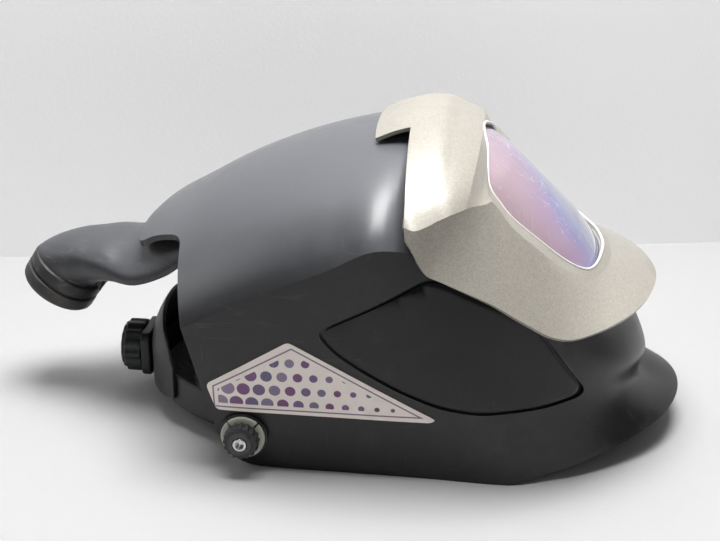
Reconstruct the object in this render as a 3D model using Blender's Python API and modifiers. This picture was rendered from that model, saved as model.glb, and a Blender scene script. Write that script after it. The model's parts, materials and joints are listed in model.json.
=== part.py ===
"""Auto-darkening welding helmet with an air duct, lying on its lower rim.

Metres, +Z up. +X is the helmet's front, -Y the wearer's right. The floor is Z = 0, and the finished
model is moved along X so that the origin is the middle of its footprint.
"""
import math

import bmesh
import bpy
import numpy as np
from mathutils import Matrix, Vector

# Shell
SHELL_LENGTH = 0.286
SHELL_HEIGHT = 0.176
SHELL_HALF_WIDTH = 0.108
SHELL_WALL = 0.003
CHIN_BULGE = 0.004
CREASE_ANGLE = math.radians(24)
SHOULDER_ANGLE = math.radians(80)
REAR_EDGE_LEAN = math.radians(14.5)
REAR_EDGE_FOOT = 0.032
REAR_CORNER_RADIUS = 0.020
TAIL_LENGTH = 0.034
TAIL_HALF_WIDTH = 0.048
TAIL_FLARE = 0.010
TAIL_FILLET = 0.010

# Lens
LENS_PITCH = math.radians(44)
LENS_RADIUS = 0.145
LENS_ORIGIN_X = 0.2138
LENS_ORIGIN_Z = 0.1241
LENS_HEIGHT = 0.099
LENS_HALF_WIDTH = 0.0583
LENS_TOP_SHARE = 0.71
LENS_PLATE_THICKNESS = 0.0015
LENS_PLATE_MARGIN = 0.0005
CASSETTE_HALF_WIDTH = 0.0455
CASSETTE_HEIGHT = 0.070
CASSETTE_DEPTH = 0.009
CASSETTE_DROP = 0.020
CASSETTE_CORNER = 0.006
CASSETTE_MIDDLE = -0.018
CASSETTE_LEDGE = 0.004
COLLAR_WALL = 0.0025
COLLAR_GAP = 0.0015

# Front cover
COVER_THICKNESS = 0.0022
TONGUE_HALF_WIDTH = 0.034
COVER_REAR_FOOT = (0.455, 0.824)
COVER_REAR_LEAN = math.radians(6)
COVER_ROUNDED_UP_TO = 0.20

# Side windows and labels
POCKET_DEPTH = 0.0021
WINDOW_THICKNESS = 0.0013
WINDOW_BORDER = 0.0020
WINDOW_LEDGE = 0.006
POCKET_CORNER = 0.008
LABEL_THICKNESS = 0.0004
LABEL_CORNER = 0.003

# Air duct and hose connector
DUCT_WALL = 0.0020
DUCT_SQUARENESS = 0.85
CONNECTOR_RADIUS = 0.0232
CONNECTOR_LENGTH = 0.0185
CONNECTOR_BORE = 0.0175
CONNECTOR_GROOVE = 0.0014

# Headband pivots, with distances from the middle plane
PIVOT_X = 0.0417
PIVOT_Z = 0.0223
PIVOT_PIN_RADIUS = 0.0040
PIVOT_PAD_RADIUS = 0.0135
PIVOT_PAD_FACE = 0.1035
PIVOT_PAD_DEPTH = 0.0070
PIVOT_DISC_RADIUS = 0.0123
PIVOT_DISC_THICKNESS = 0.0018
PIVOT_SLOT_WIDTH = 0.0013
PIVOT_KNOB_RADIUS = 0.0100
PIVOT_KNOB_THICKNESS = 0.0066
PIVOT_KNOB_HUB = 0.0068
PIVOT_KNOB_HUB_RISE = 0.0016
PIVOT_KNOB_TEETH = 16
PIVOT_KNOB_TOOTH = 0.0009
STUD_SOCKET_RADIUS = 0.0024
STUD_SOCKET_DEPTH = 0.0030
STUD_FLANGE_RADIUS = 0.0062
STUD_FLANGE_THICKNESS = 0.0012
ARM_FACE = 0.0928
ARM_THICKNESS = 0.0025
ARM_LENGTH = 0.034
ARM_HEIGHT = 0.015

# Headband, folded back inside the shell
BAND_MIDDLE_X = 0.061
BAND_HALF_LENGTH = 0.090
BAND_HALF_WIDTH = 0.082
BAND_REAR_Z = 0.0255
BAND_FRONT_Z = 0.0145
BAND_WIDTH = 0.018
BAND_THICKNESS = 0.0020
BROW_PAD_THICKNESS = 0.0065
BROW_PAD_REACH = math.radians(62)
CRADLE_REACH = math.radians(42)
CRADLE_RISE = 0.036
CRADLE_DROP = 0.013
CRADLE_THICKNESS = 0.0022
CRADLE_LEAN = 13.0
NAPE_REACH = math.radians(62)
NAPE_STRAP_THICKNESS = 0.0016
NAPE_PAD_THICKNESS = 0.0070
CROWN_RISE = 0.084
CROWN_LEAN = math.radians(22)
CROWN_STRAP_WIDTH = 0.016
CROWN_STRAP_THICKNESS = 0.0016
HOUSING_WIDTH = 0.034
HOUSING_HEIGHT = 0.028
HOUSING_DEPTH = 0.0060
RATCHET_RADIUS = 0.0165
RATCHET_THICKNESS = 0.0135
RATCHET_RIBS = 14
RATCHET_RIB_DEPTH = 0.0009

# Clearance between neighbouring pieces
GAP = 0.0003

# Cutters start this far from the middle plane and reach this far past the model.
CUT_START = 0.012
CUT_REACH = 0.2

# Sections of the shell from the tail to the tip of the flange, for the right half. Lengths along X are
# shares of SHELL_LENGTH from the dome's rear corner, heights are shares of SHELL_HEIGHT and half-widths
# are shares of SHELL_HALF_WIDTH. The last sections meet at the lens.
SHELL_COLUMNS = (
    "rim_x", "rim_z", "rim_w", "waist_x", "waist_z", "waist_w",
    "chine_x", "chine_z", "chine_w", "top_x", "top_z",
)
SHELL_SECTIONS = (
    (0.035, 0.000, 0.880, -0.017, 0.256, 0.889, -0.080, 0.447, 0.852, -0.168, 0.540),
    (0.077, 0.000, 0.885, 0.024, 0.256, 0.915, -0.028, 0.472, 0.917, -0.087, 0.676),
    (0.108, 0.000, 0.890, 0.071, 0.261, 0.950, 0.030, 0.490, 0.972, -0.003, 0.759),
    (0.171, 0.000, 0.895, 0.142, 0.270, 0.963, 0.112, 0.557, 0.991, 0.095, 0.847),
    (0.252, 0.000, 0.903, 0.234, 0.272, 0.963, 0.211, 0.636, 1.000, 0.203, 0.920),
    (0.343, 0.000, 0.907, 0.331, 0.271, 0.963, 0.314, 0.708, 1.000, 0.314, 0.972),
    (0.434, 0.000, 0.912, 0.422, 0.270, 0.963, 0.400, 0.773, 0.991, 0.406, 0.994),
    (0.517, 0.000, 0.921, 0.506, 0.268, 0.955, 0.493, 0.745, 0.915, 0.490, 0.994),
    (0.594, 0.000, 0.935, 0.585, 0.265, 0.944, 0.573, 0.676, 0.889, 0.560, 0.935),
    (0.668, 0.005, 0.935, 0.654, 0.261, 0.900, 0.647, 0.607, 0.866, 0.668, 0.767),
    (0.734, 0.026, 0.870, 0.724, 0.252, 0.833, 0.706, 0.544, 0.832, 0.668, 0.767),
    (0.797, 0.049, 0.796, 0.784, 0.242, 0.741, 0.757, 0.490, 0.755, 0.668, 0.767),
    (0.864, 0.074, 0.676, 0.836, 0.228, 0.611, 0.812, 0.442, 0.600, 0.668, 0.767),
    (0.921, 0.094, 0.537, 0.873, 0.210, 0.463, 0.856, 0.398, 0.430, 0.668, 0.767),
    (0.963, 0.108, 0.384, 0.898, 0.191, 0.306, 0.882, 0.374, 0.287, 0.668, 0.767),
    (0.991, 0.118, 0.194, 0.914, 0.173, 0.153, 0.900, 0.356, 0.139, 0.668, 0.767),
    (1.000, 0.122, 0.000, 0.920, 0.162, 0.000, 0.908, 0.341, 0.000, 0.668, 0.767),
)

# The first section that ends at the lens, and the part of the section grid that lies round it.
LENS_SECTION = 9
FACE_COLUMN = 12
FACE_ROW = 8

# Lens opening, right half, from top to bottom: shares of LENS_HEIGHT and LENS_HALF_WIDTH.
OPENING_COLUMNS = ("down", "half")
OPENING_ROWS = (
    (0.000, 0.00),
    (0.018, 0.20),
    (0.063, 0.41),
    (0.099, 0.62),
    (0.147, 0.83),
    (0.197, 0.925),
    (0.266, 0.960),
    (0.383, 0.995),
    (0.560, 0.960),
    (0.738, 0.910),
    (0.837, 0.852),
    (0.890, 0.797),
    (0.934, 0.720),
    (0.968, 0.560),
    (0.990, 0.260),
    (1.000, 0.00),
)

# Sections of the front cover from its rear edge to the middle of the lip, for the right half. "opening"
# runs along the lens opening from its top (0) to its bottom (1); below 0 the section ends on the middle
# line at top_x, top_z. The other columns are shares of the shell's sizes.
COVER_COLUMNS = (
    "edge_x", "edge_z", "edge_w", "crease_x", "crease_z", "crease_w", "top_x", "top_z", "opening",
)
COVER_SECTIONS = (
    (0.434, 0.860, 0.985, 0.437, 0.866, 0.975, 0.368, 1.005, -1.0),
    (0.460, 0.800, 0.993, 0.468, 0.837, 0.960, 0.407, 1.036, -1.0),
    (0.472, 0.768, 0.995, 0.492, 0.842, 0.918, 0.447, 1.054, -1.0),
    (0.482, 0.736, 0.996, 0.511, 0.850, 0.872, 0.497, 1.057, -1.0),
    (0.496, 0.706, 0.996, 0.529, 0.857, 0.830, 0.528, 1.035, -1.0),
    (0.516, 0.692, 0.996, 0.546, 0.860, 0.778, 0.548, 1.020, -1.0),
    (0.540, 0.676, 0.995, 0.560, 0.860, 0.730, 0.571, 0.980, 0.00),
    (0.563, 0.660, 0.993, 0.574, 0.858, 0.675, 0.571, 0.980, 0.09),
    (0.590, 0.641, 0.990, 0.586, 0.853, 0.630, 0.571, 0.980, 0.18),
    (0.621, 0.617, 0.984, 0.598, 0.850, 0.588, 0.571, 0.980, 0.26),
    (0.654, 0.584, 0.977, 0.608, 0.845, 0.550, 0.571, 0.980, 0.34),
    (0.689, 0.548, 0.958, 0.645, 0.775, 0.580, 0.571, 0.980, 0.43),
    (0.724, 0.513, 0.930, 0.693, 0.706, 0.562, 0.571, 0.980, 0.53),
    (0.762, 0.491, 0.875, 0.735, 0.647, 0.542, 0.571, 0.980, 0.62),
    (0.804, 0.493, 0.796, 0.775, 0.606, 0.502, 0.571, 0.980, 0.70),
    (0.846, 0.500, 0.685, 0.808, 0.583, 0.416, 0.571, 0.980, 0.78),
    (0.885, 0.505, 0.532, 0.828, 0.580, 0.290, 0.571, 0.980, 0.86),
    (0.920, 0.509, 0.306, 0.840, 0.580, 0.155, 0.571, 0.980, 0.93),
    (0.938, 0.510, 0.000, 0.845, 0.579, 0.000, 0.571, 0.980, 1.00),
)

# Air duct sections from its mouth under the dome to the hose end: middle point, half-width, half-height,
# how far its edges droop, and the direction it runs in degrees below level. Shares as for the shell.
DUCT_COLUMNS = ("x", "z", "half_width", "half_height", "droop", "heading")
DUCT_SECTIONS = (
    (0.067, 0.746, 0.510, 0.037, 0.091, 29),
    (-0.029, 0.656, 0.480, 0.040, 0.085, 35),
    (-0.080, 0.586, 0.445, 0.045, 0.074, 37),
    (-0.136, 0.530, 0.400, 0.054, 0.051, 27),
    (-0.185, 0.514, 0.333, 0.068, 0.026, 17),
    (-0.226, 0.495, 0.273, 0.080, 0.010, 16),
    (-0.256, 0.480, 0.238, 0.094, 0.000, 27),
    (-0.292, 0.452, 0.203, 0.121, 0.000, 57),
    (-0.297, 0.438, 0.203, 0.121, 0.000, 57),
)

# Outline of the side window pocket and of the label under it, in shares of SHELL_LENGTH and SHELL_HEIGHT.
OUTLINE_COLUMNS = ("x", "z")
POCKET_OUTLINE = (
    (0.288, 0.505),
    (0.490, 0.676),
    (0.517, 0.676),
    (0.577, 0.634),
    (0.622, 0.600),
    (0.668, 0.556),
    (0.698, 0.524),
    (0.804, 0.264),
    (0.720, 0.244),
    (0.601, 0.236),
    (0.521, 0.256),
    (0.451, 0.304),
    (0.381, 0.369),
    (0.325, 0.429),
)
LABEL_OUTLINE = (
    (0.077, 0.305),
    (0.238, 0.466),
    (0.255, 0.451),
    (0.517, 0.219),
    (0.507, 0.209),
    (0.094, 0.213),
)

# Nape strap and pad: their edges as shares of BAND_WIDTH above the band's middle and inside its line.
NAPE_COLUMNS = ("rise", "inward")
NAPE_UPPER_EDGE = (-0.53, 0.00)
NAPE_LOWER_EDGE = (-1.10, 0.95)

MATERIALS = {
    "dome_plastic": ((0.035, 0.038, 0.048), 0.34, 0.0),
    "silver_paint": ((0.62, 0.60, 0.56), 0.42, 0.35),
    "lens_clear": ((0.42, 0.38, 0.62), 0.08, 0.0),
    "filter_dark": ((0.06, 0.05, 0.16), 0.12, 0.0),
    "window_gloss": ((0.012, 0.012, 0.014), 0.06, 0.0),
    "label_cream": ((0.62, 0.60, 0.52), 0.45, 0.0),
    "duct_grey": ((0.060, 0.060, 0.068), 0.45, 0.0),
    "boss_pale": ((0.52, 0.55, 0.46), 0.45, 0.0),
    "stud_steel": ((0.55, 0.55, 0.56), 0.28, 1.0),
    "knob_grey": ((0.045, 0.045, 0.050), 0.48, 0.0),
    "band_dark": ((0.030, 0.034, 0.032), 0.50, 0.0),
    "pad_fleece": ((0.012, 0.012, 0.014), 0.95, 0.0),
}


def clear_scene():
    """Remove every object the file starts with."""
    for item in list(bpy.data.objects):
        bpy.data.objects.remove(item, do_unlink=True)


def new_collection(name):
    """Return a new collection linked to the scene."""
    collection = bpy.data.collections.new(name)
    bpy.context.scene.collection.children.link(collection)
    return collection


def new_material(name):
    """Return the named Principled material from MATERIALS."""
    colour, roughness, metallic = MATERIALS[name]
    material = bpy.data.materials.get(name) or bpy.data.materials.new(name)
    material.use_nodes = True
    shader = material.node_tree.nodes["Principled BSDF"]
    shader.inputs["Base Color"].default_value = (*colour, 1.0)
    shader.inputs["Roughness"].default_value = roughness
    shader.inputs["Metallic"].default_value = metallic
    return material


class Model:
    """The collections that hold the helmet's parts and its cutters."""

    def __init__(self):
        self.parts = new_collection("welding_helmet")
        self.cutters = new_collection("cutters")

    def add_part(self, name, mesh, material):
        """Link a mesh as a visible sub-part with its material."""
        item = bpy.data.objects.new(name, mesh)
        self.parts.objects.link(item)
        item.data.materials.append(new_material(material))
        mesh.shade_smooth()
        mesh.set_sharp_from_angle(angle=math.radians(30))
        return item

    def add_cutter(self, name, mesh):
        """Link a mesh as a hidden cutter."""
        item = bpy.data.objects.new(name, mesh)
        self.cutters.objects.link(item)
        item.hide_render = True
        item.display_type = "WIRE"
        return item


def smooth_rows(rows, steps, mirrored_columns=None):
    """Catmull-Rom curve through the rows of a table, each gap split into steps.

    mirrored_columns lists the columns that change sign past the last row, where the model is mirrored.
    """
    rows = np.array(rows, dtype=float)
    after_last = 2 * rows[-1] - rows[-2]
    if mirrored_columns is not None:
        after_last = rows[-2].copy()
        after_last[mirrored_columns] *= -1
    padded = np.vstack([2 * rows[0] - rows[1], rows, after_last])
    result = []
    for index in range(1, len(padded) - 2):
        p0, p1, p2, p3 = padded[index - 1:index + 3]
        for t in np.arange(steps) / steps:
            linear = (p2 - p0) * t
            square = (2 * p0 - 5 * p1 + 4 * p2 - p3) * t * t
            cube = (3 * p1 - p0 - 3 * p2 + p3) * t ** 3
            result.append(0.5 * (2 * p1 + linear + square + cube))
    result.append(rows[-1])
    return np.array(result)


def lens_frame():
    """Return the lens plate's middle point, its downward direction and its outward normal."""
    down = Vector((math.cos(LENS_PITCH), 0, -math.sin(LENS_PITCH)))
    outward = Vector((math.sin(LENS_PITCH), 0, math.cos(LENS_PITCH)))
    return Vector((LENS_ORIGIN_X, 0, LENS_ORIGIN_Z)), down, outward


def on_lens(down_share, half_share, sink=0.0):
    """Point on the lens cylinder, right half, sunk by a depth."""
    origin, down, outward = lens_frame()
    half = half_share * LENS_HALF_WIDTH
    fall = LENS_RADIUS - math.sqrt(LENS_RADIUS ** 2 - half ** 2)
    along = (down_share - LENS_TOP_SHARE) * LENS_HEIGHT
    return origin + down * along - outward * (fall + sink) + Vector((0, -half, 0))


def opening_point(share, sink=0.0):
    """Point on the lens opening's edge, share 0 at its top and 1 at its bottom, on the right side."""
    rows = np.array(OPENING_ROWS)
    scaled = rows * (LENS_HEIGHT, LENS_HALF_WIDTH)
    steps = np.r_[0, np.cumsum(np.hypot(*np.diff(scaled, axis=0).T))]
    down = np.interp(share, steps / steps[-1], rows[:, OPENING_COLUMNS.index("down")])
    half = np.interp(share, steps / steps[-1], rows[:, OPENING_COLUMNS.index("half")])
    return on_lens(down, half, sink)


def shell_point(x_share, z_share, w_share=0.0):
    """Point from shares of the shell's sizes, on the right side."""
    return Vector((x_share * SHELL_LENGTH, -w_share * SHELL_HALF_WIDTH, z_share * SHELL_HEIGHT))


def share_between(value, start, end):
    """How far a value lies from start to end, kept between 0 and 1."""
    return min(1.0, max(0.0, (value - start) / (end - start)))


def arch(chine, top, count, crease):
    """Points from the chine over to the middle line as part of an ellipse that starts at a crease."""
    points = []
    for angle in np.linspace(crease, math.pi / 2, count + 1):
        rise = (math.sin(angle) - math.sin(crease)) / (1 - math.sin(crease))
        side = math.cos(angle) / math.cos(crease)
        point = chine.lerp(top, rise)
        point.y = top.y + (chine.y - top.y) * side
        points.append(point)
    return points


def shell_columns(steps, wall_count, arch_count):
    """Return the shell's outer surface, right half, as columns of points from rim to middle line."""
    rows = smooth_rows(SHELL_SECTIONS, steps, mirrored_columns=[2, 5, 8])
    pole = shell_point(*SHELL_SECTIONS[-1][-2:])
    columns = []
    for index, row in enumerate(rows):
        section = dict(zip(SHELL_COLUMNS, row))
        rim = shell_point(section["rim_x"], max(0.0, section["rim_z"]), section["rim_w"])
        waist = shell_point(section["waist_x"], section["waist_z"], section["waist_w"])
        chine = shell_point(section["chine_x"], section["chine_z"], section["chine_w"])
        top = pole if index >= LENS_SECTION * steps else shell_point(section["top_x"], section["top_z"])
        chin = share_between(section["waist_x"], 0.70, 0.86)
        belly = waist.lerp(chine, 0.5) + Vector((CHIN_BULGE * chin, 0, 0))
        wall = [Vector(point) for point in smooth_rows([rim, waist, belly, chine], wall_count)]
        shoulder = share_between(section["chine_x"], 0.41, 0.49)
        crease = CREASE_ANGLE + (SHOULDER_ANGLE - CREASE_ANGLE) * shoulder
        columns.append(wall[:-1] + arch(chine, top, arch_count, crease))
    return columns


def mesh_from_columns(name, columns, outward=0.0, flip=False):
    """Join columns of points into one open sheet, moved outward along its normals."""
    data = bmesh.new()
    grid = [[data.verts.new(point) for point in column] for column in columns]
    for near, far in zip(grid, grid[1:]):
        for lower in range(len(near) - 1):
            corners = [near[lower], far[lower], far[lower + 1], near[lower + 1]]
            data.faces.new(corners[::-1] if flip else corners)
    bmesh.ops.remove_doubles(data, verts=data.verts, dist=1e-6)
    bmesh.ops.dissolve_degenerate(data, edges=data.edges, dist=1e-6)
    if outward:
        data.normal_update()
        for vert, normal in [(vert, vert.normal.copy()) for vert in data.verts]:
            on_plane = abs(vert.co.y) < 1e-6
            vert.co += normal * outward
            if on_plane:
                vert.co.y = 0.0
    mesh = bpy.data.meshes.new(name)
    data.to_mesh(mesh)
    data.free()
    return mesh


def add_mirror(item):
    """Mirror a right half across the middle plane."""
    modifier = item.modifiers.new("Mirror", "MIRROR")
    modifier.use_axis = (False, True, False)
    modifier.use_clip = True
    modifier.merge_threshold = 0.00001


def add_solidify(item, thickness, offset=-1.0, even=True):
    """Give an open sheet its wall."""
    modifier = item.modifiers.new("Wall", "SOLIDIFY")
    modifier.thickness = thickness
    modifier.offset = offset
    modifier.use_even_offset = even
    modifier.use_quality_normals = True


def add_boolean(item, cutter, operation="DIFFERENCE"):
    """Cut or join with another object."""
    modifier = item.modifiers.new(operation.title(), "BOOLEAN")
    modifier.operation = operation
    modifier.solver = "EXACT"
    modifier.object = cutter


def prism_mesh(name, outline, bottom, top, placement=Matrix.Identity(4)):
    """Closed prism of a flat outline between two heights, placed by a matrix."""
    curve = bpy.data.curves.new(name, "CURVE")
    curve.dimensions = "2D"
    curve.fill_mode = "BOTH"
    curve.extrude = abs(top - bottom) / 2
    spline = curve.splines.new("POLY")
    spline.points.add(len(outline) - 1)
    for point, (x, y) in zip(spline.points, outline):
        point.co = (x, y, 0, 1)
    spline.use_cyclic_u = True
    carrier = bpy.data.objects.new(name, curve)
    bpy.context.scene.collection.objects.link(carrier)
    bpy.context.view_layer.update()
    evaluated = carrier.evaluated_get(bpy.context.evaluated_depsgraph_get())
    mesh = bpy.data.meshes.new_from_object(evaluated)
    bpy.data.objects.remove(carrier, do_unlink=True)
    bpy.data.curves.remove(curve)
    data = bmesh.new()
    data.from_mesh(mesh)
    bmesh.ops.remove_doubles(data, verts=data.verts, dist=1e-6)
    bmesh.ops.transform(data, matrix=placement @ Matrix.Translation((0, 0, (top + bottom) / 2)),
                        verts=data.verts)
    bmesh.ops.recalc_face_normals(data, faces=data.faces)
    data.to_mesh(mesh)
    data.free()
    return mesh


# Places a flat outline drawn in X and Z so that its prism runs along -Y, towards the wearer's right.
SIDE_VIEW = Matrix(((1, 0, 0, 0), (0, 0, -1, 0), (0, 1, 0, 0), (0, 0, 0, 1)))


def side_prism(name, outline, near, far, side):
    """Prism of a side-view outline between two distances from the middle plane, on one side."""
    mesh = prism_mesh(name, outline, near, far, SIDE_VIEW)
    if side > 0:
        mesh.transform(Matrix.Scale(-1, 4, (0, 1, 0)))
        mesh.flip_normals()
    return mesh


def rounded(points, radius, segments=4):
    """Round each corner of a closed outline by an arc, limited by the neighbouring sides."""
    result = []
    count = len(points)
    for index in range(count):
        here = Vector(points[index]).to_2d()
        before = Vector(points[index - 1]).to_2d() - here
        after = Vector(points[(index + 1) % count]).to_2d() - here
        reach = min(radius, before.length * 0.45, after.length * 0.45)
        start = here + before.normalized() * reach
        end = here + after.normalized() * reach
        for t in np.linspace(0, 1, segments + 1):
            result.append((1 - t) ** 2 * start + 2 * t * (1 - t) * here + t * t * end)
    return [tuple(point) for point in result]


def inset(points, distance):
    """Move a closed outline inwards by a distance."""
    count = len(points)
    area = sum(points[i - 1][0] * points[i][1] - points[i][0] * points[i - 1][1] for i in range(count))
    turn = 1 if area > 0 else -1
    result = []
    for index in range(count):
        before = Vector(points[index - 1])
        here = Vector(points[index])
        after = Vector(points[(index + 1) % count])
        first = (here - before).normalized()
        second = (after - here).normalized()
        normal = (Vector((-first.y, first.x)) + Vector((-second.y, second.x))).normalized() * turn
        spread = max(0.4, normal.dot(Vector((-first.y, first.x)) * turn))
        result.append(tuple(here + normal * distance / spread))
    return result


def lens_placement():
    """Matrix of the lens plane: X runs down the lens, Y to the wearer's left, Z out of it."""
    origin, down, outward = lens_frame()
    across = outward.cross(down)
    rotation = Matrix((down, across, outward)).transposed().to_4x4()
    return Matrix.Translation(origin) @ rotation


def opening_outline(margin=0.0):
    """Closed outline of the lens opening in the lens plane, grown by a margin."""
    right = [((down - LENS_TOP_SHARE) * LENS_HEIGHT, -half * LENS_HALF_WIDTH) for down, half in OPENING_ROWS]
    left = [(down, -half) for down, half in reversed(right[1:-1])]
    return inset(right + left, -margin)


def rounded_box(half_length, half_width, radius, middle=0.0):
    """Closed outline of a rounded rectangle."""
    corners = [
        (middle - half_length, -half_width),
        (middle + half_length, -half_width),
        (middle + half_length, half_width),
        (middle - half_length, half_width),
    ]
    return rounded(corners, radius)


def outline_from_shares(rows):
    """Side-view outline in metres from shares of the shell's sizes."""
    sizes = {"x": SHELL_LENGTH, "z": SHELL_HEIGHT}
    return [tuple(share * sizes[name] for name, share in zip(OUTLINE_COLUMNS, row)) for row in rows]


def wall_patch(name, outward, outline, side):
    """Sheet offset from the shell's outer surface, and the prism that cuts a side-view outline from it."""
    mesh = mesh_from_columns(name, shell_columns(2, 3, 6), outward)
    if side > 0:
        mesh.transform(Matrix.Scale(-1, 4, (0, 1, 0)))
        mesh.flip_normals()
    return mesh, side_prism(name + "_outline", outline, CUT_START, CUT_REACH, side)


def side_name(side):
    """Name of a side, right for -1 and left for +1."""
    return "right" if side < 0 else "left"


def rear_trim_mesh():
    """Cutter behind the shell's rear edge, which leaves the tail in the middle."""
    reach = CUT_REACH
    half = TAIL_HALF_WIDTH
    tail = [
        (0.0, -reach),
        (0.0, -half - TAIL_FLARE),
        (TAIL_LENGTH * 0.45, -half),
        (TAIL_LENGTH, -half * 0.80),
        (TAIL_LENGTH * 1.08, 0.0),
        (TAIL_LENGTH, half * 0.80),
        (TAIL_LENGTH * 0.45, half),
        (0.0, half + TAIL_FLARE),
        (0.0, reach),
    ]
    edge = rounded(tail, TAIL_FILLET)[5:-5]
    outline = [(0.0, -reach)] + edge + [(0.0, reach), (reach, reach), (reach, -reach)]
    back = Vector((-math.cos(REAR_EDGE_LEAN), 0, -math.sin(REAR_EDGE_LEAN)))
    rotation = Matrix((back, Vector((0, 1, 0)), back.cross(Vector((0, 1, 0))))).transposed().to_4x4()
    placement = Matrix.Translation((REAR_EDGE_FOOT, 0, 0)) @ rotation
    return prism_mesh("rear_trim", outline, -reach, reach, placement)


def foot_trim_mesh():
    """Cutter that rounds the shell's lower rear corners, seen from the side."""
    radius = REAR_CORNER_RADIUS
    foot = Vector((REAR_EDGE_FOOT, 0.0))
    up = Vector((-math.sin(REAR_EDGE_LEAN), math.cos(REAR_EDGE_LEAN)))
    start = foot + up * radius
    end = foot + Vector((radius, 0.0))
    arc = []
    for t in np.linspace(0, 1, 6):
        arc.append(tuple((1 - t) ** 2 * start + 2 * t * (1 - t) * foot + t * t * end))
    outline = arc + [(end.x, -radius), (foot.x - 3 * radius, -radius), (foot.x - 3 * radius, start.y)]
    return prism_mesh("foot_trim", outline, -CUT_REACH, CUT_REACH, SIDE_VIEW)


def build_shell(model):
    """Hollow shell with its filter collar, lens aperture, window pockets and rear outline."""
    columns = shell_columns(2, 3, 6)
    shell = model.add_part("shell", mesh_from_columns("shell", columns), "dome_plastic")
    add_mirror(shell)
    add_solidify(shell, SHELL_WALL)
    placement = lens_placement()
    seat = -CASSETTE_DROP - CASSETTE_DEPTH - GAP
    outer = opening_outline(LENS_PLATE_MARGIN + COLLAR_GAP + COLLAR_WALL)
    inner = opening_outline(LENS_PLATE_MARGIN + COLLAR_GAP)
    collar = model.add_cutter("filter_collar", prism_mesh(
        "filter_collar", outer, seat - COLLAR_WALL, 0.0, placement))
    face = [column[FACE_ROW:] for column in columns[FACE_COLUMN:]]
    above = model.add_cutter("above_wall", mesh_from_columns("above_wall", face, -SHELL_WALL / 3))
    add_mirror(above)
    add_solidify(above, 0.045, 1.0, even=False)
    add_boolean(collar, above)
    add_boolean(shell, collar, "UNION")
    add_boolean(shell, model.add_cutter("aperture", prism_mesh(
        "aperture", inner, seat, 0.05, placement)))
    window = rounded_box(CASSETTE_HEIGHT / 2 - CASSETTE_LEDGE, CASSETTE_HALF_WIDTH - CASSETTE_LEDGE,
                         CASSETTE_CORNER, CASSETTE_MIDDLE)
    add_boolean(shell, model.add_cutter("filter_window", prism_mesh(
        "filter_window", window, seat - 0.02, seat + 0.01, placement)))
    pocket_corners = outline_from_shares(POCKET_OUTLINE)
    pocket_outline = rounded(pocket_corners, POCKET_CORNER, 3)
    through_outline = rounded(inset(pocket_corners, WINDOW_LEDGE), POCKET_CORNER, 3)
    for side in (-1, 1):
        mesh, prism = wall_patch("pocket_" + side_name(side), -POCKET_DEPTH, pocket_outline, side)
        pocket = model.add_cutter(mesh.name, mesh)
        add_solidify(pocket, POCKET_DEPTH + 0.004, 1.0)
        add_boolean(pocket, model.add_cutter(prism.name, prism), "INTERSECT")
        add_boolean(shell, pocket)
        through = side_prism("through_" + side_name(side), through_outline, CUT_START, CUT_REACH, side)
        add_boolean(shell, model.add_cutter(through.name, through))
    for side in (-1, 1):
        name = side_name(side)
        add_boolean(shell, model.add_cutter("pivot_pad_" + name, side_prism(
            "pivot_pad_" + name, circle(PIVOT_PAD_RADIUS, (PIVOT_X, PIVOT_Z)),
            PIVOT_PAD_FACE - PIVOT_PAD_DEPTH, PIVOT_PAD_FACE, side)), "UNION")
        add_boolean(shell, model.add_cutter("pivot_hole_" + name, side_prism(
            "pivot_hole_" + name, circle(PIVOT_PIN_RADIUS + GAP, (PIVOT_X, PIVOT_Z), 14),
            CUT_START, CUT_REACH, side)))
    add_boolean(shell, model.add_cutter("rear_trim", rear_trim_mesh()))
    add_boolean(shell, model.add_cutter("foot_trim", foot_trim_mesh()))


def build_side_windows(model):
    """Glossy side windows, seated in their pockets."""
    outline = rounded(inset(outline_from_shares(POCKET_OUTLINE), WINDOW_BORDER), POCKET_CORNER, 3)
    for side in (-1, 1):
        name = "side_window_" + side_name(side)
        mesh, prism = wall_patch(name, -POCKET_DEPTH + GAP, outline, side)
        window = model.add_part(name, mesh, "window_gloss")
        add_solidify(window, WINDOW_THICKNESS, 1.0)
        add_boolean(window, model.add_cutter(prism.name, prism), "INTERSECT")


def build_side_labels(model):
    """Thin labels on the side walls, under the windows."""
    outline = rounded(outline_from_shares(LABEL_OUTLINE), LABEL_CORNER, 2)
    for side in (-1, 1):
        name = "side_label_" + side_name(side)
        mesh, prism = wall_patch(name, GAP, outline, side)
        label = model.add_part(name, mesh, "label_cream")
        add_solidify(label, LABEL_THICKNESS, 1.0)
        add_boolean(label, model.add_cutter(prism.name, prism), "INTERSECT")


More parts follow.
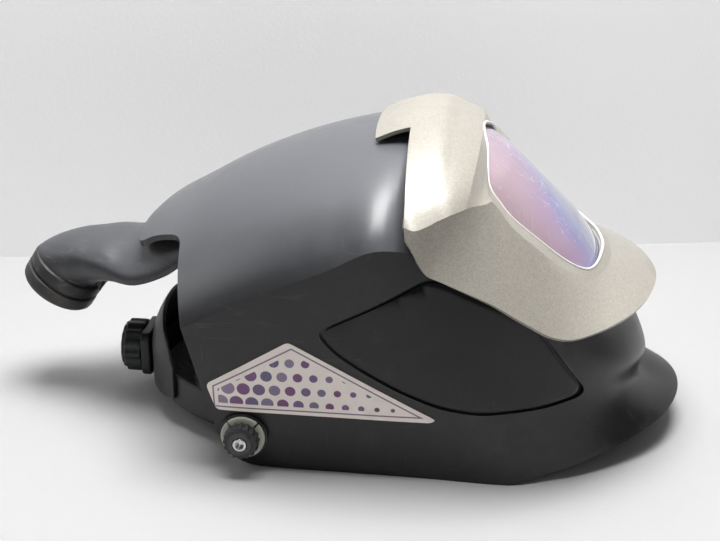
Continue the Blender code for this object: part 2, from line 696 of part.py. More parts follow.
def cover_columns(steps, facet_count, arch_count):
    """Return the front cover's outer surface, right half, as columns from its edge to the opening."""
    rows = []
    for row in COVER_SECTIONS:
        section = dict(zip(COVER_COLUMNS, row))
        edge = shell_point(section["edge_x"], section["edge_z"], section["edge_w"])
        crease = shell_point(section["crease_x"], section["crease_z"], section["crease_w"])
        top = shell_point(section["top_x"], section["top_z"])
        if section["opening"] >= 0:
            top = opening_point(section["opening"], -COVER_THICKNESS - 3 * GAP)
        rounding = share_between(section["opening"], COVER_ROUNDED_UP_TO, 0.0)
        rows.append([*edge, *crease, *top, rounding])
    mirrored = [1, 4, 7]
    columns = []
    for row in smooth_rows(rows, steps, mirrored_columns=mirrored):
        edge, crease, top = Vector(row[0:3]), Vector(row[3:6]), Vector(row[6:9])
        top.y = min(top.y, 0.0)
        rounding = share_between(row[9], 0.0, 1.0)
        facet = [edge.lerp(crease, t) for t in np.linspace(0, 1, facet_count + 1)]
        bow = arch(crease, top, arch_count, CREASE_ANGLE)
        flat = [crease.lerp(top, t) for t in np.linspace(0, 1, arch_count + 1)]
        upper = [plain.lerp(bent, rounding) for plain, bent in zip(flat, bow)]
        columns.append(facet[:-1] + upper)
    return columns


def trim_cover_rear(mesh):
    """Cut the cover's sheet along its rear plane, except for the tongue in the middle."""
    foot = shell_point(*COVER_REAR_FOOT)
    back = Vector((-math.cos(COVER_REAR_LEAN), 0, -math.sin(COVER_REAR_LEAN)))
    side = Vector((0, -TONGUE_HALF_WIDTH, 0))
    data = bmesh.new()
    data.from_mesh(mesh)
    bmesh.ops.bisect_plane(data, geom=data.verts[:] + data.edges[:] + data.faces[:], dist=1e-6,
                           plane_co=foot, plane_no=back)
    behind = [face for face in data.faces if (face.calc_center_median() - foot).dot(back) > 0]
    edges = {edge for face in behind for edge in face.edges}
    verts = {vert for face in behind for vert in face.verts}
    bmesh.ops.bisect_plane(data, geom=behind + list(edges) + list(verts), dist=1e-6,
                           plane_co=side, plane_no=Vector((0, -1, 0)))
    outside = []
    for face in data.faces:
        centre = face.calc_center_median()
        if (centre - foot).dot(back) > 0 and centre.y < side.y:
            outside.append(face)
    bmesh.ops.delete(data, geom=outside, context="FACES")
    data.to_mesh(mesh)
    data.free()


def build_front_cover(model):
    """Silver cover with the lens opening, the rear tongue and the lip."""
    mesh = mesh_from_columns("front_cover", cover_columns(2, 2, 5))
    trim_cover_rear(mesh)
    cover = model.add_part("front_cover", mesh, "silver_paint")
    add_mirror(cover)
    add_solidify(cover, COVER_THICKNESS)


def build_lens(model):
    """Protection plate in the cover and the darkening filter behind it."""
    placement = lens_placement()
    columns = []
    for half in np.linspace(1.25, -1.25, 25):
        columns.append([on_lens(down, half) for down in (1.2, -0.2)])
    plate = model.add_part("lens_plate", mesh_from_columns("lens_plate", columns), "lens_clear")
    add_solidify(plate, LENS_PLATE_THICKNESS)
    add_boolean(plate, model.add_cutter("plate_outline", prism_mesh(
        "plate_outline", opening_outline(LENS_PLATE_MARGIN), -0.06, 0.06, placement)), "INTERSECT")
    box = rounded_box(CASSETTE_HEIGHT / 2, CASSETTE_HALF_WIDTH, CASSETTE_CORNER, CASSETTE_MIDDLE)
    mesh = prism_mesh("filter_cassette", box, -CASSETTE_DROP - CASSETTE_DEPTH, -CASSETTE_DROP, placement)
    model.add_part("filter_cassette", mesh, "filter_dark")


def duct_columns(steps, count):
    """Rings of points round the duct's outer surface, from its mouth to the hose end."""
    columns = []
    for row in smooth_rows(DUCT_SECTIONS, steps):
        section = dict(zip(DUCT_COLUMNS, row))
        centre = shell_point(section["x"], section["z"])
        half_width = section["half_width"] * SHELL_HALF_WIDTH
        half_height = section["half_height"] * SHELL_HEIGHT
        heading = math.radians(section["heading"])
        normal = Vector((-math.sin(heading), 0, math.cos(heading)))
        flat = 1.0 - (1.0 - DUCT_SQUARENESS) * share_between(half_width - half_height, 0.0, half_height)
        ring = []
        for angle in np.linspace(0, 2 * math.pi, count + 1):
            across = math.copysign(abs(math.cos(angle)) ** flat, math.cos(angle))
            rise = math.copysign(abs(math.sin(angle)) ** flat, math.sin(angle))
            sag = section["droop"] * SHELL_HEIGHT * across ** 2
            ring.append(centre + Vector((0, half_width * across, 0)) + normal * (half_height * rise - sag))
        columns.append(ring)
    return columns


def hose_axis():
    """Where the duct ends and the direction the hose leaves in."""
    section = dict(zip(DUCT_COLUMNS, DUCT_SECTIONS[-1]))
    heading = math.radians(section["heading"])
    direction = Vector((-math.cos(heading), 0, -math.sin(heading)))
    return shell_point(section["x"], section["z"]), direction


def turned(model, name, profile, material, location, direction, steps=24):
    """Part turned about a direction: the profile is a closed loop of radius and distance along it."""
    mesh = bpy.data.meshes.new(name)
    count = len(profile)
    corners = [(radius, 0, along) for radius, along in profile]
    mesh.from_pydata(corners, [(i, (i + 1) % count) for i in range(count)], [])
    item = model.add_part(name, mesh, material)
    item.location = location
    item.rotation_euler = direction.to_track_quat("Z", "Y").to_euler()
    screw = item.modifiers.new("Screw", "SCREW")
    screw.axis = "Z"
    screw.steps = steps
    screw.render_steps = steps
    screw.use_merge_vertices = True
    screw.merge_threshold = 0.00001
    screw.use_normal_calculate = True
    return item


def build_duct(model):
    """Hollow air duct and the ring that takes the breathing hose."""
    mesh = mesh_from_columns("air_duct", duct_columns(2, 16))
    duct = model.add_part("air_duct", mesh, "duct_grey")
    add_solidify(duct, DUCT_WALL)
    end, direction = hose_axis()
    placement = Matrix.Translation(end) @ direction.to_track_quat("Z", "Y").to_matrix().to_4x4()
    add_boolean(duct, model.add_cutter("duct_end", prism_mesh(
        "duct_end", circle(CONNECTOR_RADIUS * 1.3, (0, 0)), -2 * GAP, CONNECTOR_LENGTH, placement)))
    length = CONNECTOR_LENGTH
    outer = CONNECTOR_RADIUS
    seam = outer - CONNECTOR_GROOVE
    profile = [
        (outer * 0.94, 0.0),
        (outer, length * 0.12),
        (outer, length * 0.40),
        (seam, length * 0.44),
        (seam, length * 0.50),
        (outer, length * 0.54),
        (outer, length * 0.86),
        (outer * 0.94, length),
        (CONNECTOR_BORE, length),
        (CONNECTOR_BORE, 0.0),
    ]
    turned(model, "hose_connector", profile[::-1], "duct_grey", end - direction * GAP, direction)


def circle(radius, middle, count=32):
    """Closed outline of a circle."""
    turns = (np.arange(count) + 0.5) * 2 * math.pi / count
    return [(middle[0] + radius * math.cos(turn), middle[1] + radius * math.sin(turn)) for turn in turns]


def toothed(radius, depth, teeth):
    """Closed outline of a wheel with rounded teeth, about the origin."""
    points = []
    for step in range(teeth * 4):
        turn = 2 * math.pi * step / (teeth * 4)
        reach = radius - (depth if step % 4 >= 2 else 0.0)
        points.append((reach * math.cos(turn), reach * math.sin(turn)))
    return points


def build_pivots(model):
    """Slotted discs, tension knobs and studs of the headband pivots."""
    pivot = (PIVOT_X, PIVOT_Z)
    hole = PIVOT_PIN_RADIUS + GAP
    disc_face = PIVOT_PAD_FACE + GAP + PIVOT_DISC_THICKNESS
    knob_face = disc_face + GAP + PIVOT_KNOB_THICKNESS
    hub_face = knob_face + PIVOT_KNOB_HUB_RISE
    for side in (-1, 1):
        label = side_name(side)
        disc = model.add_part("pivot_disc_" + label, side_prism(
            "pivot_disc_" + label, circle(PIVOT_DISC_RADIUS, pivot, 28), PIVOT_PAD_FACE + GAP, disc_face,
            side), "boss_pale")
        add_boolean(disc, model.add_cutter("disc_hole_" + label, side_prism(
            "disc_hole_" + label, circle(hole, pivot, 14), CUT_START, CUT_REACH, side)))
        for turn in (math.radians(45), math.radians(135)):
            slot = Matrix.Rotation(turn, 2)
            near, far = PIVOT_DISC_RADIUS * 0.72, PIVOT_DISC_RADIUS * 1.1
            half = PIVOT_SLOT_WIDTH / 2
            outline = [Vector(pivot) + slot @ Vector(corner) for corner in (
                (near, -half), (far, -half), (far, half), (near, half))]
            name = "disc_slot_%s_%d" % (label, round(math.degrees(turn)))
            add_boolean(disc, model.add_cutter(name, side_prism(name, outline, CUT_START, CUT_REACH, side)))
        knob_hinge = Vector((PIVOT_X, side * disc_face, PIVOT_Z))
        wheel = toothed(PIVOT_KNOB_RADIUS, PIVOT_KNOB_TOOTH, PIVOT_KNOB_TEETH)
        mesh = side_prism("pivot_knob_" + label, wheel, GAP, knob_face - disc_face, side)
        knob = model.add_part("pivot_knob_" + label, mesh, "knob_grey")
        knob.location = knob_hinge
        hub = model.add_cutter("knob_hub_" + label, side_prism(
            "knob_hub_" + label, circle(PIVOT_KNOB_HUB, (0, 0), 16), PIVOT_KNOB_THICKNESS / 2,
            hub_face - disc_face, side))
        bore = model.add_cutter("knob_bore_" + label, side_prism(
            "knob_bore_" + label, circle(hole, (0, 0), 14), -CUT_START, CUT_REACH, side))
        for cutter in (hub, bore):
            cutter.location = knob_hinge
        add_boolean(knob, hub, "UNION")
        add_boolean(knob, bore)
        flange = ARM_FACE + GAP
        socket = STUD_SOCKET_RADIUS
        end = hub_face + 0.0006
        pin = PIVOT_PIN_RADIUS
        profile = [
            (0.0, flange),
            (STUD_FLANGE_RADIUS, flange),
            (STUD_FLANGE_RADIUS, flange + STUD_FLANGE_THICKNESS),
            (pin, flange + STUD_FLANGE_THICKNESS),
            (pin, end - 0.0008),
            (pin - 0.0008, end),
            (socket, end),
            (socket, end - STUD_SOCKET_DEPTH),
            (0.0, end - STUD_SOCKET_DEPTH),
        ]
        turned_solid(model, "pivot_stud_" + label, profile, "stud_steel",
                     Vector((PIVOT_X, 0, PIVOT_Z)), Vector((0, side, 0)), 14)


def turned_solid(model, name, profile, material, location, direction, steps):
    """Part turned about a direction from an open profile that starts and ends on the axis."""
    data = bmesh.new()
    corners = [data.verts.new((radius, 0, along)) for radius, along in profile]
    edges = [data.edges.new(pair) for pair in zip(corners, corners[1:])]
    bmesh.ops.spin(data, geom=corners + edges, cent=(0, 0, 0), axis=(0, 0, 1), angle=2 * math.pi,
                   steps=steps, use_merge=True)
    bmesh.ops.remove_doubles(data, verts=data.verts, dist=1e-6)
    bmesh.ops.dissolve_degenerate(data, edges=data.edges, dist=1e-6)
    bmesh.ops.recalc_face_normals(data, faces=data.faces)
    mesh = bpy.data.meshes.new(name)
    data.to_mesh(mesh)
    data.free()
    item = model.add_part(name, mesh, material)
    item.location = location
    item.rotation_euler = direction.to_track_quat("Z", "Y").to_euler()
    return item


def band_point(turn, rise, outward=0.0):
    """Point on the headband's line: turn 0 is the brow and pi the nape, positive on the right side."""
    length = BAND_HALF_LENGTH + outward
    width = BAND_HALF_WIDTH + outward
    x = BAND_MIDDLE_X + length * math.cos(turn)
    share = (1 - math.cos(turn)) / 2
    middle = BAND_FRONT_Z + (BAND_REAR_Z - BAND_FRONT_Z) * share
    lean = CRADLE_LEAN * max(0.0, rise - BAND_WIDTH / 2) ** 2 * share
    return Vector((x + lean, -width * math.sin(turn), middle + rise))


def band_sheet(name, reach, middle, edges, count, rows=1):
    """Open sheet along the headband's line. edges gives (rise, outward) below and above at a share."""
    columns = []
    for share in np.linspace(-1, 1, count + 1):
        lower, upper = edges(share)
        column = []
        for step in np.linspace(0, 1, rows + 1):
            rise, outward = np.array(lower) * (1 - step) + np.array(upper) * step
            column.append(band_point(middle + share * reach, rise, outward))
        columns.append(column)
    return mesh_from_columns(name, columns, flip=True)


def build_band(model):
    """Headband ring, brow pad, rear cradle, nape strap and pad, and the crown strap."""
    half = BAND_WIDTH / 2
    ring = model.add_part("headband_ring", band_sheet(
        "headband_ring", math.pi, 0.0, lambda share: ((-half, 0.0), (half, 0.0)), 64), "band_dark")
    add_solidify(ring, BAND_THICKNESS, 1.0)
    pad = model.add_part("brow_pad", band_sheet(
        "brow_pad", BROW_PAD_REACH, 0.0, lambda share: ((-half, -GAP), (half, -GAP)), 20, 2), "pad_fleece")
    add_solidify(pad, BROW_PAD_THICKNESS)
    outside = BAND_THICKNESS + GAP

    def cradle_edges(share):
        fall = math.sqrt(max(0.0, 1 - share ** 2 * 0.85))
        return (-CRADLE_DROP * fall, outside), (CRADLE_RISE * fall, outside)

    cradle = model.add_part("rear_cradle", band_sheet(
        "rear_cradle", CRADLE_REACH, math.pi, cradle_edges, 20, 6), "band_dark")
    add_solidify(cradle, CRADLE_THICKNESS, 1.0)
    upper, lower = (dict(zip(NAPE_COLUMNS, edge)) for edge in (NAPE_UPPER_EDGE, NAPE_LOWER_EDGE))
    nape = [(edge["rise"] * BAND_WIDTH, -edge["inward"] * BAND_WIDTH) for edge in (lower, upper)]
    strap = model.add_part("nape_strap", band_sheet(
        "nape_strap", NAPE_REACH, math.pi, lambda share: nape, 24, 2), "band_dark")
    add_solidify(strap, NAPE_STRAP_THICKNESS, 1.0)

    def pad_edges(share):
        return [(rise, outward - GAP) for rise, outward in nape]

    nape_pad = model.add_part("nape_pad", band_sheet(
        "nape_pad", NAPE_REACH, math.pi, pad_edges, 24, 2), "pad_fleece")
    add_solidify(nape_pad, NAPE_PAD_THICKNESS)
    up = Vector((math.sin(CROWN_LEAN), 0, math.cos(CROWN_LEAN)))
    along = Vector((math.cos(CROWN_LEAN), 0, -math.sin(CROWN_LEAN))) * CROWN_STRAP_WIDTH / 2
    foot = Vector((BAND_MIDDLE_X, 0, (BAND_REAR_Z + BAND_FRONT_Z) / 2))
    columns = []
    for turn in np.linspace(0, math.pi, 33):
        inner = BAND_HALF_WIDTH - 2 * GAP - CROWN_STRAP_THICKNESS
        middle = foot + Vector((0, -inner * math.cos(turn), 0)) + up * CROWN_RISE * math.sin(turn)
        columns.append([middle - along, middle + along])
    crown = model.add_part("crown_strap", mesh_from_columns("crown_strap", columns, flip=True), "band_dark")
    add_solidify(crown, CROWN_STRAP_THICKNESS, 1.0)


def build_arms(model):
    """Arms that join the headband's sides to the pivot studs."""
    for side in (-1, 1):
        label = side_name(side)
        near = BAND_HALF_WIDTH + BAND_THICKNESS + GAP
        front = PIVOT_X - ARM_HEIGHT / 2
        outline = rounded([
            (front, PIVOT_Z - ARM_HEIGHT / 2),
            (front + ARM_LENGTH, PIVOT_Z - ARM_HEIGHT / 2),
            (front + ARM_LENGTH, PIVOT_Z + ARM_HEIGHT / 2),
            (front, PIVOT_Z + ARM_HEIGHT / 2),
        ], ARM_HEIGHT / 2.2)
        plate = side_prism("headband_arm_" + label, outline, ARM_FACE - ARM_THICKNESS, ARM_FACE, side)
        arm = model.add_part("headband_arm_" + label, plate, "band_dark")
        block = rounded_box(ARM_HEIGHT * 0.32, ARM_HEIGHT * 0.40, 0.002)
        block = [(BAND_MIDDLE_X + x, PIVOT_Z - 0.002 + z) for x, z in block]
        add_boolean(arm, model.add_cutter("arm_block_" + label, side_prism(
            "arm_block_" + label, block, near, ARM_FACE - ARM_THICKNESS / 2, side)), "UNION")


def build_ratchet(model):
    """Ratchet housing behind the cradle and its ribbed knob."""
    reach = BAND_THICKNESS + GAP + CRADLE_THICKNESS + GAP
    rear = band_point(math.pi, 0.0, reach)
    upright = Matrix(((0, 0, -1, 0), (1, 0, 0, 0), (0, 1, 0, 0), (0, 0, 0, 1)))
    box = rounded([
        (-HOUSING_WIDTH / 2, -HOUSING_HEIGHT / 2),
        (HOUSING_WIDTH / 2, -HOUSING_HEIGHT / 2),
        (HOUSING_WIDTH / 2, HOUSING_HEIGHT / 2),
        (-HOUSING_WIDTH / 2, HOUSING_HEIGHT / 2),
    ], 0.006)
    housing = model.add_part("ratchet_housing", prism_mesh(
        "ratchet_housing", box, 0.0, HOUSING_DEPTH, upright), "band_dark")
    housing.location = rear
    wheel = toothed(RATCHET_RADIUS, RATCHET_RIB_DEPTH, RATCHET_RIBS)
    cap = [(x * 0.88, y * 0.88) for x, y in wheel]
    knob = model.add_part("ratchet_knob", prism_mesh(
        "ratchet_knob", wheel, GAP, RATCHET_THICKNESS * 0.8, upright), "band_dark")
    crown = model.add_cutter("ratchet_cap", prism_mesh(
        "ratchet_cap", cap, RATCHET_THICKNESS * 0.5, RATCHET_THICKNESS, upright))
    for item in (knob, crown):
        item.location = rear + Vector((-HOUSING_DEPTH, 0, 0))
    add_boolean(knob, crown, "UNION")


HEADBAND_NODES = (
    "headband_ring", "brow_pad", "rear_cradle", "nape_strap", "nape_pad", "crown_strap",
    "headband_arm_right", "headband_arm_left", "pivot_stud_right", "pivot_stud_left",
    "ratchet_housing", "ratchet_knob",
)


def place_on_origin(model):
    """Parent the headband to its pivot, and move the helmet so that its footprint's middle is at zero."""
    bpy.context.view_layer.update()
    graph = bpy.context.evaluated_depsgraph_get()
    reach = []
    for item in model.parts.objects:
        mesh = item.evaluated_get(graph).to_mesh()
        reach += [(item.matrix_world @ vert.co).x for vert in mesh.vertices]
    helmet = bpy.data.objects.new("helmet", None)
    pivot = bpy.data.objects.new("headband_pivot", None)
    for empty in (helmet, pivot):
        model.parts.objects.link(empty)
    pivot.location = (PIVOT_X, 0, PIVOT_Z)
    bpy.context.view_layer.update()
    for item in list(model.parts.objects) + list(model.cutters.objects):
        if item is helmet:
            continue
        item.parent = pivot if item.name in HEADBAND_NODES else helmet
        item.matrix_parent_inverse = item.parent.matrix_world.inverted()
    helmet.location = (-(min(reach) + max(reach)) / 2, 0, 0)


def main():
    """Build every sub-part."""
    clear_scene()
    model = Model()
    build_shell(model)
    build_side_windows(model)
    build_side_labels(model)
    build_front_cover(model)
    build_lens(model)
    build_duct(model)
    build_pivots(model)
    build_band(model)
    build_arms(model)
    build_ratchet(model)
    place_on_origin(model)


main()
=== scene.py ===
"""Looks of an auto-darkening welding helmet with an air duct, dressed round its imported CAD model.

Metres, +Z up, +X is the helmet's front and -Y the wearer's right. The sizes and tables repeat those of the
part's source, so each piece lies where its solid does, with finer surfaces and finished materials.
"""
import json
import logging
import math
from dataclasses import dataclass
from enum import Enum

import bmesh
import bpy
import numpy as np
from mathutils import Matrix, Vector


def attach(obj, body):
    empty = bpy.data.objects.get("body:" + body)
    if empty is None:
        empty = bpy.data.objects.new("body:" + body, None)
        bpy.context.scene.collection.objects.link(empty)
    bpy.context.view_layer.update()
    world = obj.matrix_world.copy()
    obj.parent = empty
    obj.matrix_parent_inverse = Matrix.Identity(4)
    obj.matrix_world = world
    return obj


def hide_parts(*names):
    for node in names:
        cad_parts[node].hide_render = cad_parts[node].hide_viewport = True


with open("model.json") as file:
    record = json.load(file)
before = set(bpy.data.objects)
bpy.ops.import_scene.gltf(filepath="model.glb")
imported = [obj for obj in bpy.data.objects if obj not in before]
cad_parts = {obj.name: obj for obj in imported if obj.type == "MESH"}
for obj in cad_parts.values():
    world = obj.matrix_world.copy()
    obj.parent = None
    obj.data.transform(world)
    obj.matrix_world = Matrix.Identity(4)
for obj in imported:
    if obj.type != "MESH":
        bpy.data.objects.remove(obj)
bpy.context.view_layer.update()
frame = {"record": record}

log = logging.getLogger("welding_helmet")

Array = np.ndarray
Colour = tuple[float, float, float]
Piece = bpy.types.Object
Socket = bpy.types.NodeSocket
Sockets = bpy.types.bpy_prop_collection
Material = bpy.types.Material

# Clearance between neighbouring pieces, and how far cutters reach past the model.
GAP = 0.0003
CUT_START = 0.012
CUT_REACH = 0.2

# Shares of the shell's length, height and half-width, one row for each section from the tail to the flange.
SHELL_SECTIONS = (
    # rim x, z, w          waist x, z, w          chine x, z, w          top x, z
    (0.035, 0.000, 0.880, -0.017, 0.256, 0.889, -0.080, 0.447, 0.852, -0.168, 0.540),
    (0.077, 0.000, 0.885, 0.024, 0.256, 0.915, -0.028, 0.472, 0.917, -0.087, 0.676),
    (0.108, 0.000, 0.890, 0.071, 0.261, 0.950, 0.030, 0.490, 0.972, -0.003, 0.759),
    (0.171, 0.000, 0.895, 0.142, 0.270, 0.963, 0.112, 0.557, 0.991, 0.095, 0.847),
    (0.252, 0.000, 0.903, 0.234, 0.272, 0.963, 0.211, 0.636, 1.000, 0.203, 0.920),
    (0.343, 0.000, 0.907, 0.331, 0.271, 0.963, 0.314, 0.708, 1.000, 0.314, 0.972),
    (0.434, 0.000, 0.912, 0.422, 0.270, 0.963, 0.400, 0.773, 0.991, 0.406, 0.994),
    (0.517, 0.000, 0.921, 0.506, 0.268, 0.955, 0.493, 0.745, 0.915, 0.490, 0.994),
    (0.594, 0.000, 0.935, 0.585, 0.265, 0.944, 0.573, 0.676, 0.889, 0.560, 0.935),
    (0.668, 0.005, 0.935, 0.654, 0.261, 0.900, 0.647, 0.607, 0.866, 0.668, 0.767),
    (0.734, 0.026, 0.870, 0.724, 0.252, 0.833, 0.706, 0.544, 0.832, 0.668, 0.767),
    (0.797, 0.049, 0.796, 0.784, 0.242, 0.741, 0.757, 0.490, 0.755, 0.668, 0.767),
    (0.864, 0.074, 0.676, 0.836, 0.228, 0.611, 0.812, 0.442, 0.600, 0.668, 0.767),
    (0.921, 0.094, 0.537, 0.873, 0.210, 0.463, 0.856, 0.398, 0.430, 0.668, 0.767),
    (0.963, 0.108, 0.384, 0.898, 0.191, 0.306, 0.882, 0.374, 0.287, 0.668, 0.767),
    (0.991, 0.118, 0.194, 0.914, 0.173, 0.153, 0.900, 0.356, 0.139, 0.668, 0.767),
    (1.000, 0.122, 0.000, 0.920, 0.162, 0.000, 0.908, 0.341, 0.000, 0.668, 0.767),
)
LENS_SECTION = 9

# Lens opening, right half, from top to bottom: shares of its height and half-width.
OPENING_ROWS = (
    (0.000, 0.00), (0.018, 0.20), (0.063, 0.41), (0.099, 0.62), (0.147, 0.83), (0.197, 0.925),
    (0.266, 0.960), (0.383, 0.995), (0.560, 0.960), (0.738, 0.910), (0.837, 0.852), (0.890, 0.797),
    (0.934, 0.720), (0.968, 0.560), (0.990, 0.260), (1.000, 0.00),
)

# Front cover from its rear edge to the middle of the lip; opening runs along the lens opening.
COVER_SECTIONS = (
    # edge x, z, w         crease x, z, w         top x, z      opening
    (0.434, 0.860, 0.985, 0.437, 0.866, 0.975, 0.368, 1.005, -1.0),
    (0.460, 0.800, 0.993, 0.468, 0.839, 0.970, 0.407, 1.036, -1.0),
    (0.472, 0.768, 0.995, 0.492, 0.847, 0.943, 0.447, 1.054, -1.0),
    (0.482, 0.736, 0.996, 0.511, 0.859, 0.912, 0.497, 1.057, -1.0),
    (0.496, 0.706, 0.996, 0.529, 0.869, 0.885, 0.528, 1.035, -1.0),
    (0.516, 0.692, 0.996, 0.546, 0.875, 0.848, 0.548, 1.020, -1.0),
    (0.540, 0.676, 0.995, 0.560, 0.878, 0.810, 0.571, 0.980, 0.00),
    (0.563, 0.660, 0.993, 0.574, 0.878, 0.765, 0.571, 0.980, 0.09),
    (0.590, 0.641, 0.990, 0.586, 0.874, 0.725, 0.571, 0.980, 0.18),
    (0.621, 0.617, 0.984, 0.598, 0.871, 0.683, 0.571, 0.980, 0.26),
    (0.654, 0.584, 0.977, 0.608, 0.865, 0.640, 0.571, 0.980, 0.34),
    (0.689, 0.548, 0.958, 0.645, 0.791, 0.655, 0.571, 0.980, 0.43),
    (0.724, 0.513, 0.930, 0.693, 0.717, 0.612, 0.571, 0.980, 0.53),
    (0.762, 0.491, 0.875, 0.735, 0.654, 0.572, 0.571, 0.980, 0.62),
    (0.804, 0.493, 0.796, 0.775, 0.609, 0.517, 0.571, 0.980, 0.70),
    (0.846, 0.500, 0.685, 0.808, 0.583, 0.416, 0.571, 0.980, 0.78),
    (0.885, 0.505, 0.532, 0.828, 0.580, 0.290, 0.571, 0.980, 0.86),
    (0.920, 0.509, 0.306, 0.840, 0.580, 0.155, 0.571, 0.980, 0.93),
    (0.938, 0.510, 0.000, 0.845, 0.579, 0.000, 0.571, 0.980, 1.00),
)

# Air duct from its mouth to the hose end: middle x, z, half-width, half-height, droop, degrees below level.
DUCT_SECTIONS = (
    (0.067, 0.746, 0.510, 0.037, 0.091, 29),
    (-0.029, 0.656, 0.480, 0.040, 0.085, 35),
    (-0.080, 0.586, 0.445, 0.045, 0.074, 37),
    (-0.136, 0.530, 0.400, 0.054, 0.051, 27),
    (-0.185, 0.514, 0.333, 0.068, 0.026, 17),
    (-0.226, 0.495, 0.273, 0.080, 0.010, 16),
    (-0.256, 0.480, 0.238, 0.094, 0.000, 27),
    (-0.292, 0.452, 0.203, 0.121, 0.000, 57),
    (-0.297, 0.438, 0.203, 0.121, 0.000, 57),
)

# Side-view outlines of the window pocket and of the label, in shares of the shell's length and height.
POCKET_OUTLINE = (
    (0.288, 0.505), (0.490, 0.676), (0.517, 0.676), (0.577, 0.634), (0.622, 0.600), (0.668, 0.556),
    (0.698, 0.524), (0.804, 0.264), (0.720, 0.244), (0.601, 0.236), (0.521, 0.256), (0.451, 0.304),
    (0.381, 0.369), (0.325, 0.429),
)
LABEL_OUTLINE = (
    (0.077, 0.305), (0.238, 0.466), (0.255, 0.451), (0.517, 0.219), (0.507, 0.209), (0.094, 0.213),
)


class Body(Enum):
    """The CAD bodies that pieces ride on."""

    HELMET = "helmet"
    HEADBAND = "headband"
    KNOB_RIGHT = "tension_knob_right"
    KNOB_LEFT = "tension_knob_left"
    RATCHET = "ratchet_knob"


class Side(Enum):
    """The wearer's right and left, with the sign of Y."""

    RIGHT = -1
    LEFT = 1

    @property
    def word(self) -> str:
        """Name of the side as the CAD nodes have it."""
        return self.name.lower()


# Geometry


def catmull(rows: Array, steps: int, after_last: Array | None = None) -> Array:
    """Smooth curve through the rows.

    Each gap is the Catmull-Rom cubic of its four neighbouring rows, split into equal steps.

    Args:
        rows: Control rows along the first axis.
        steps: Points made for each gap.
        after_last: The row past the last one, extrapolated when left out.

    Returns:
        The curve's rows, ending on the last control row.
    """
    rows = np.asarray(rows, dtype=float)
    after = 2 * rows[-1] - rows[-2] if after_last is None else after_last
    padded = np.concatenate([(2 * rows[0] - rows[1])[None], rows, after[None]])
    p0, p1, p2, p3 = (padded[k:len(padded) - 3 + k][:, None] for k in range(4))
    t = (np.arange(steps) / steps).reshape((1, steps) + (1,) * (rows.ndim - 1))
    cubic = 2 * p1 + (p2 - p0) * t + (2 * p0 - 5 * p1 + 4 * p2 - p3) * t ** 2
    cubic = 0.5 * (cubic + (3 * p1 - p0 - 3 * p2 + p3) * t ** 3)
    return np.concatenate([cubic.reshape((-1,) + rows.shape[1:]), rows[-1:]])


def share(value: Array | float, start: float, end: float) -> Array | float:
    """How far a value lies from start to end, kept between 0 and 1."""
    return np.clip((value - start) / (end - start), 0.0, 1.0)


def signed_power(value: Array, power: float) -> Array:
    """A value's size raised to a power, with its sign kept."""
    return np.sign(value) * np.abs(value) ** power


def mesh_from_grid(name: str, grid: Array, loop_rows: bool = False, loop_columns: bool = False,
                   mirrored: bool = False, flip: bool = False) -> bpy.types.Mesh:
    """Quads between neighbouring points of a grid.

    Args:
        name: The mesh's name.
        grid: Points, shaped (rows, columns, 3).
        loop_rows: Whether the last row joins the first.
        loop_columns: Whether the last column joins the first.
        mirrored: Whether the same surface is added on the other side of the middle plane.
        flip: Whether the faces are turned round.

    Returns:
        The mesh, with its coinciding points merged.
    """
    rows, columns = grid.shape[:2]
    index = np.arange(rows * columns).reshape(rows, columns)
    if loop_rows:
        index = np.concatenate([index, index[:1]])
    if loop_columns:
        index = np.concatenate([index, index[:, :1]], axis=1)
    quads = np.stack([index[:-1, :-1], index[1:, :-1], index[1:, 1:], index[:-1, 1:]], axis=-1).reshape(-1, 4)
    points = grid.reshape(-1, 3)
    if mirrored:
        quads = np.concatenate([quads, quads[:, ::-1] + len(points)])
        points = np.concatenate([points, points * (1, -1, 1)])
    if flip:
        quads = quads[:, ::-1]
    mesh = bpy.data.meshes.new(name)
    mesh.from_pydata(points.tolist(), [], quads.tolist())
    welded = bmesh.new()
    welded.from_mesh(mesh)
    bmesh.ops.remove_doubles(welded, verts=welded.verts, dist=2e-6)
    bmesh.ops.dissolve_degenerate(welded, edges=welded.edges, dist=2e-6)
    welded.to_mesh(mesh)
    welded.free()
    return mesh


def face_outwards(mesh: bpy.types.Mesh) -> None:
    """Turn a closed mesh's faces outwards."""
    data = bmesh.new()
    data.from_mesh(mesh)
    bmesh.ops.recalc_face_normals(data, faces=data.faces)
    data.to_mesh(mesh)
    data.free()


def keep_before(mesh: bpy.types.Mesh, point: Vector, direction: Vector) -> None:
    """Cut a sheet at a plane and drop what lies past it."""
    data = bmesh.new()
    data.from_mesh(mesh)
    bmesh.ops.bisect_plane(data, geom=data.verts[:] + data.edges[:] + data.faces[:], dist=1e-6,
                           plane_co=point, plane_no=direction, clear_outer=True)
    data.to_mesh(mesh)
    data.free()


def new_object(name: str, mesh: bpy.types.Mesh) -> Piece:
    """Link a mesh to the scene as an object."""
    item = bpy.data.objects.new(name, mesh)
    bpy.context.scene.collection.objects.link(item)
    return item


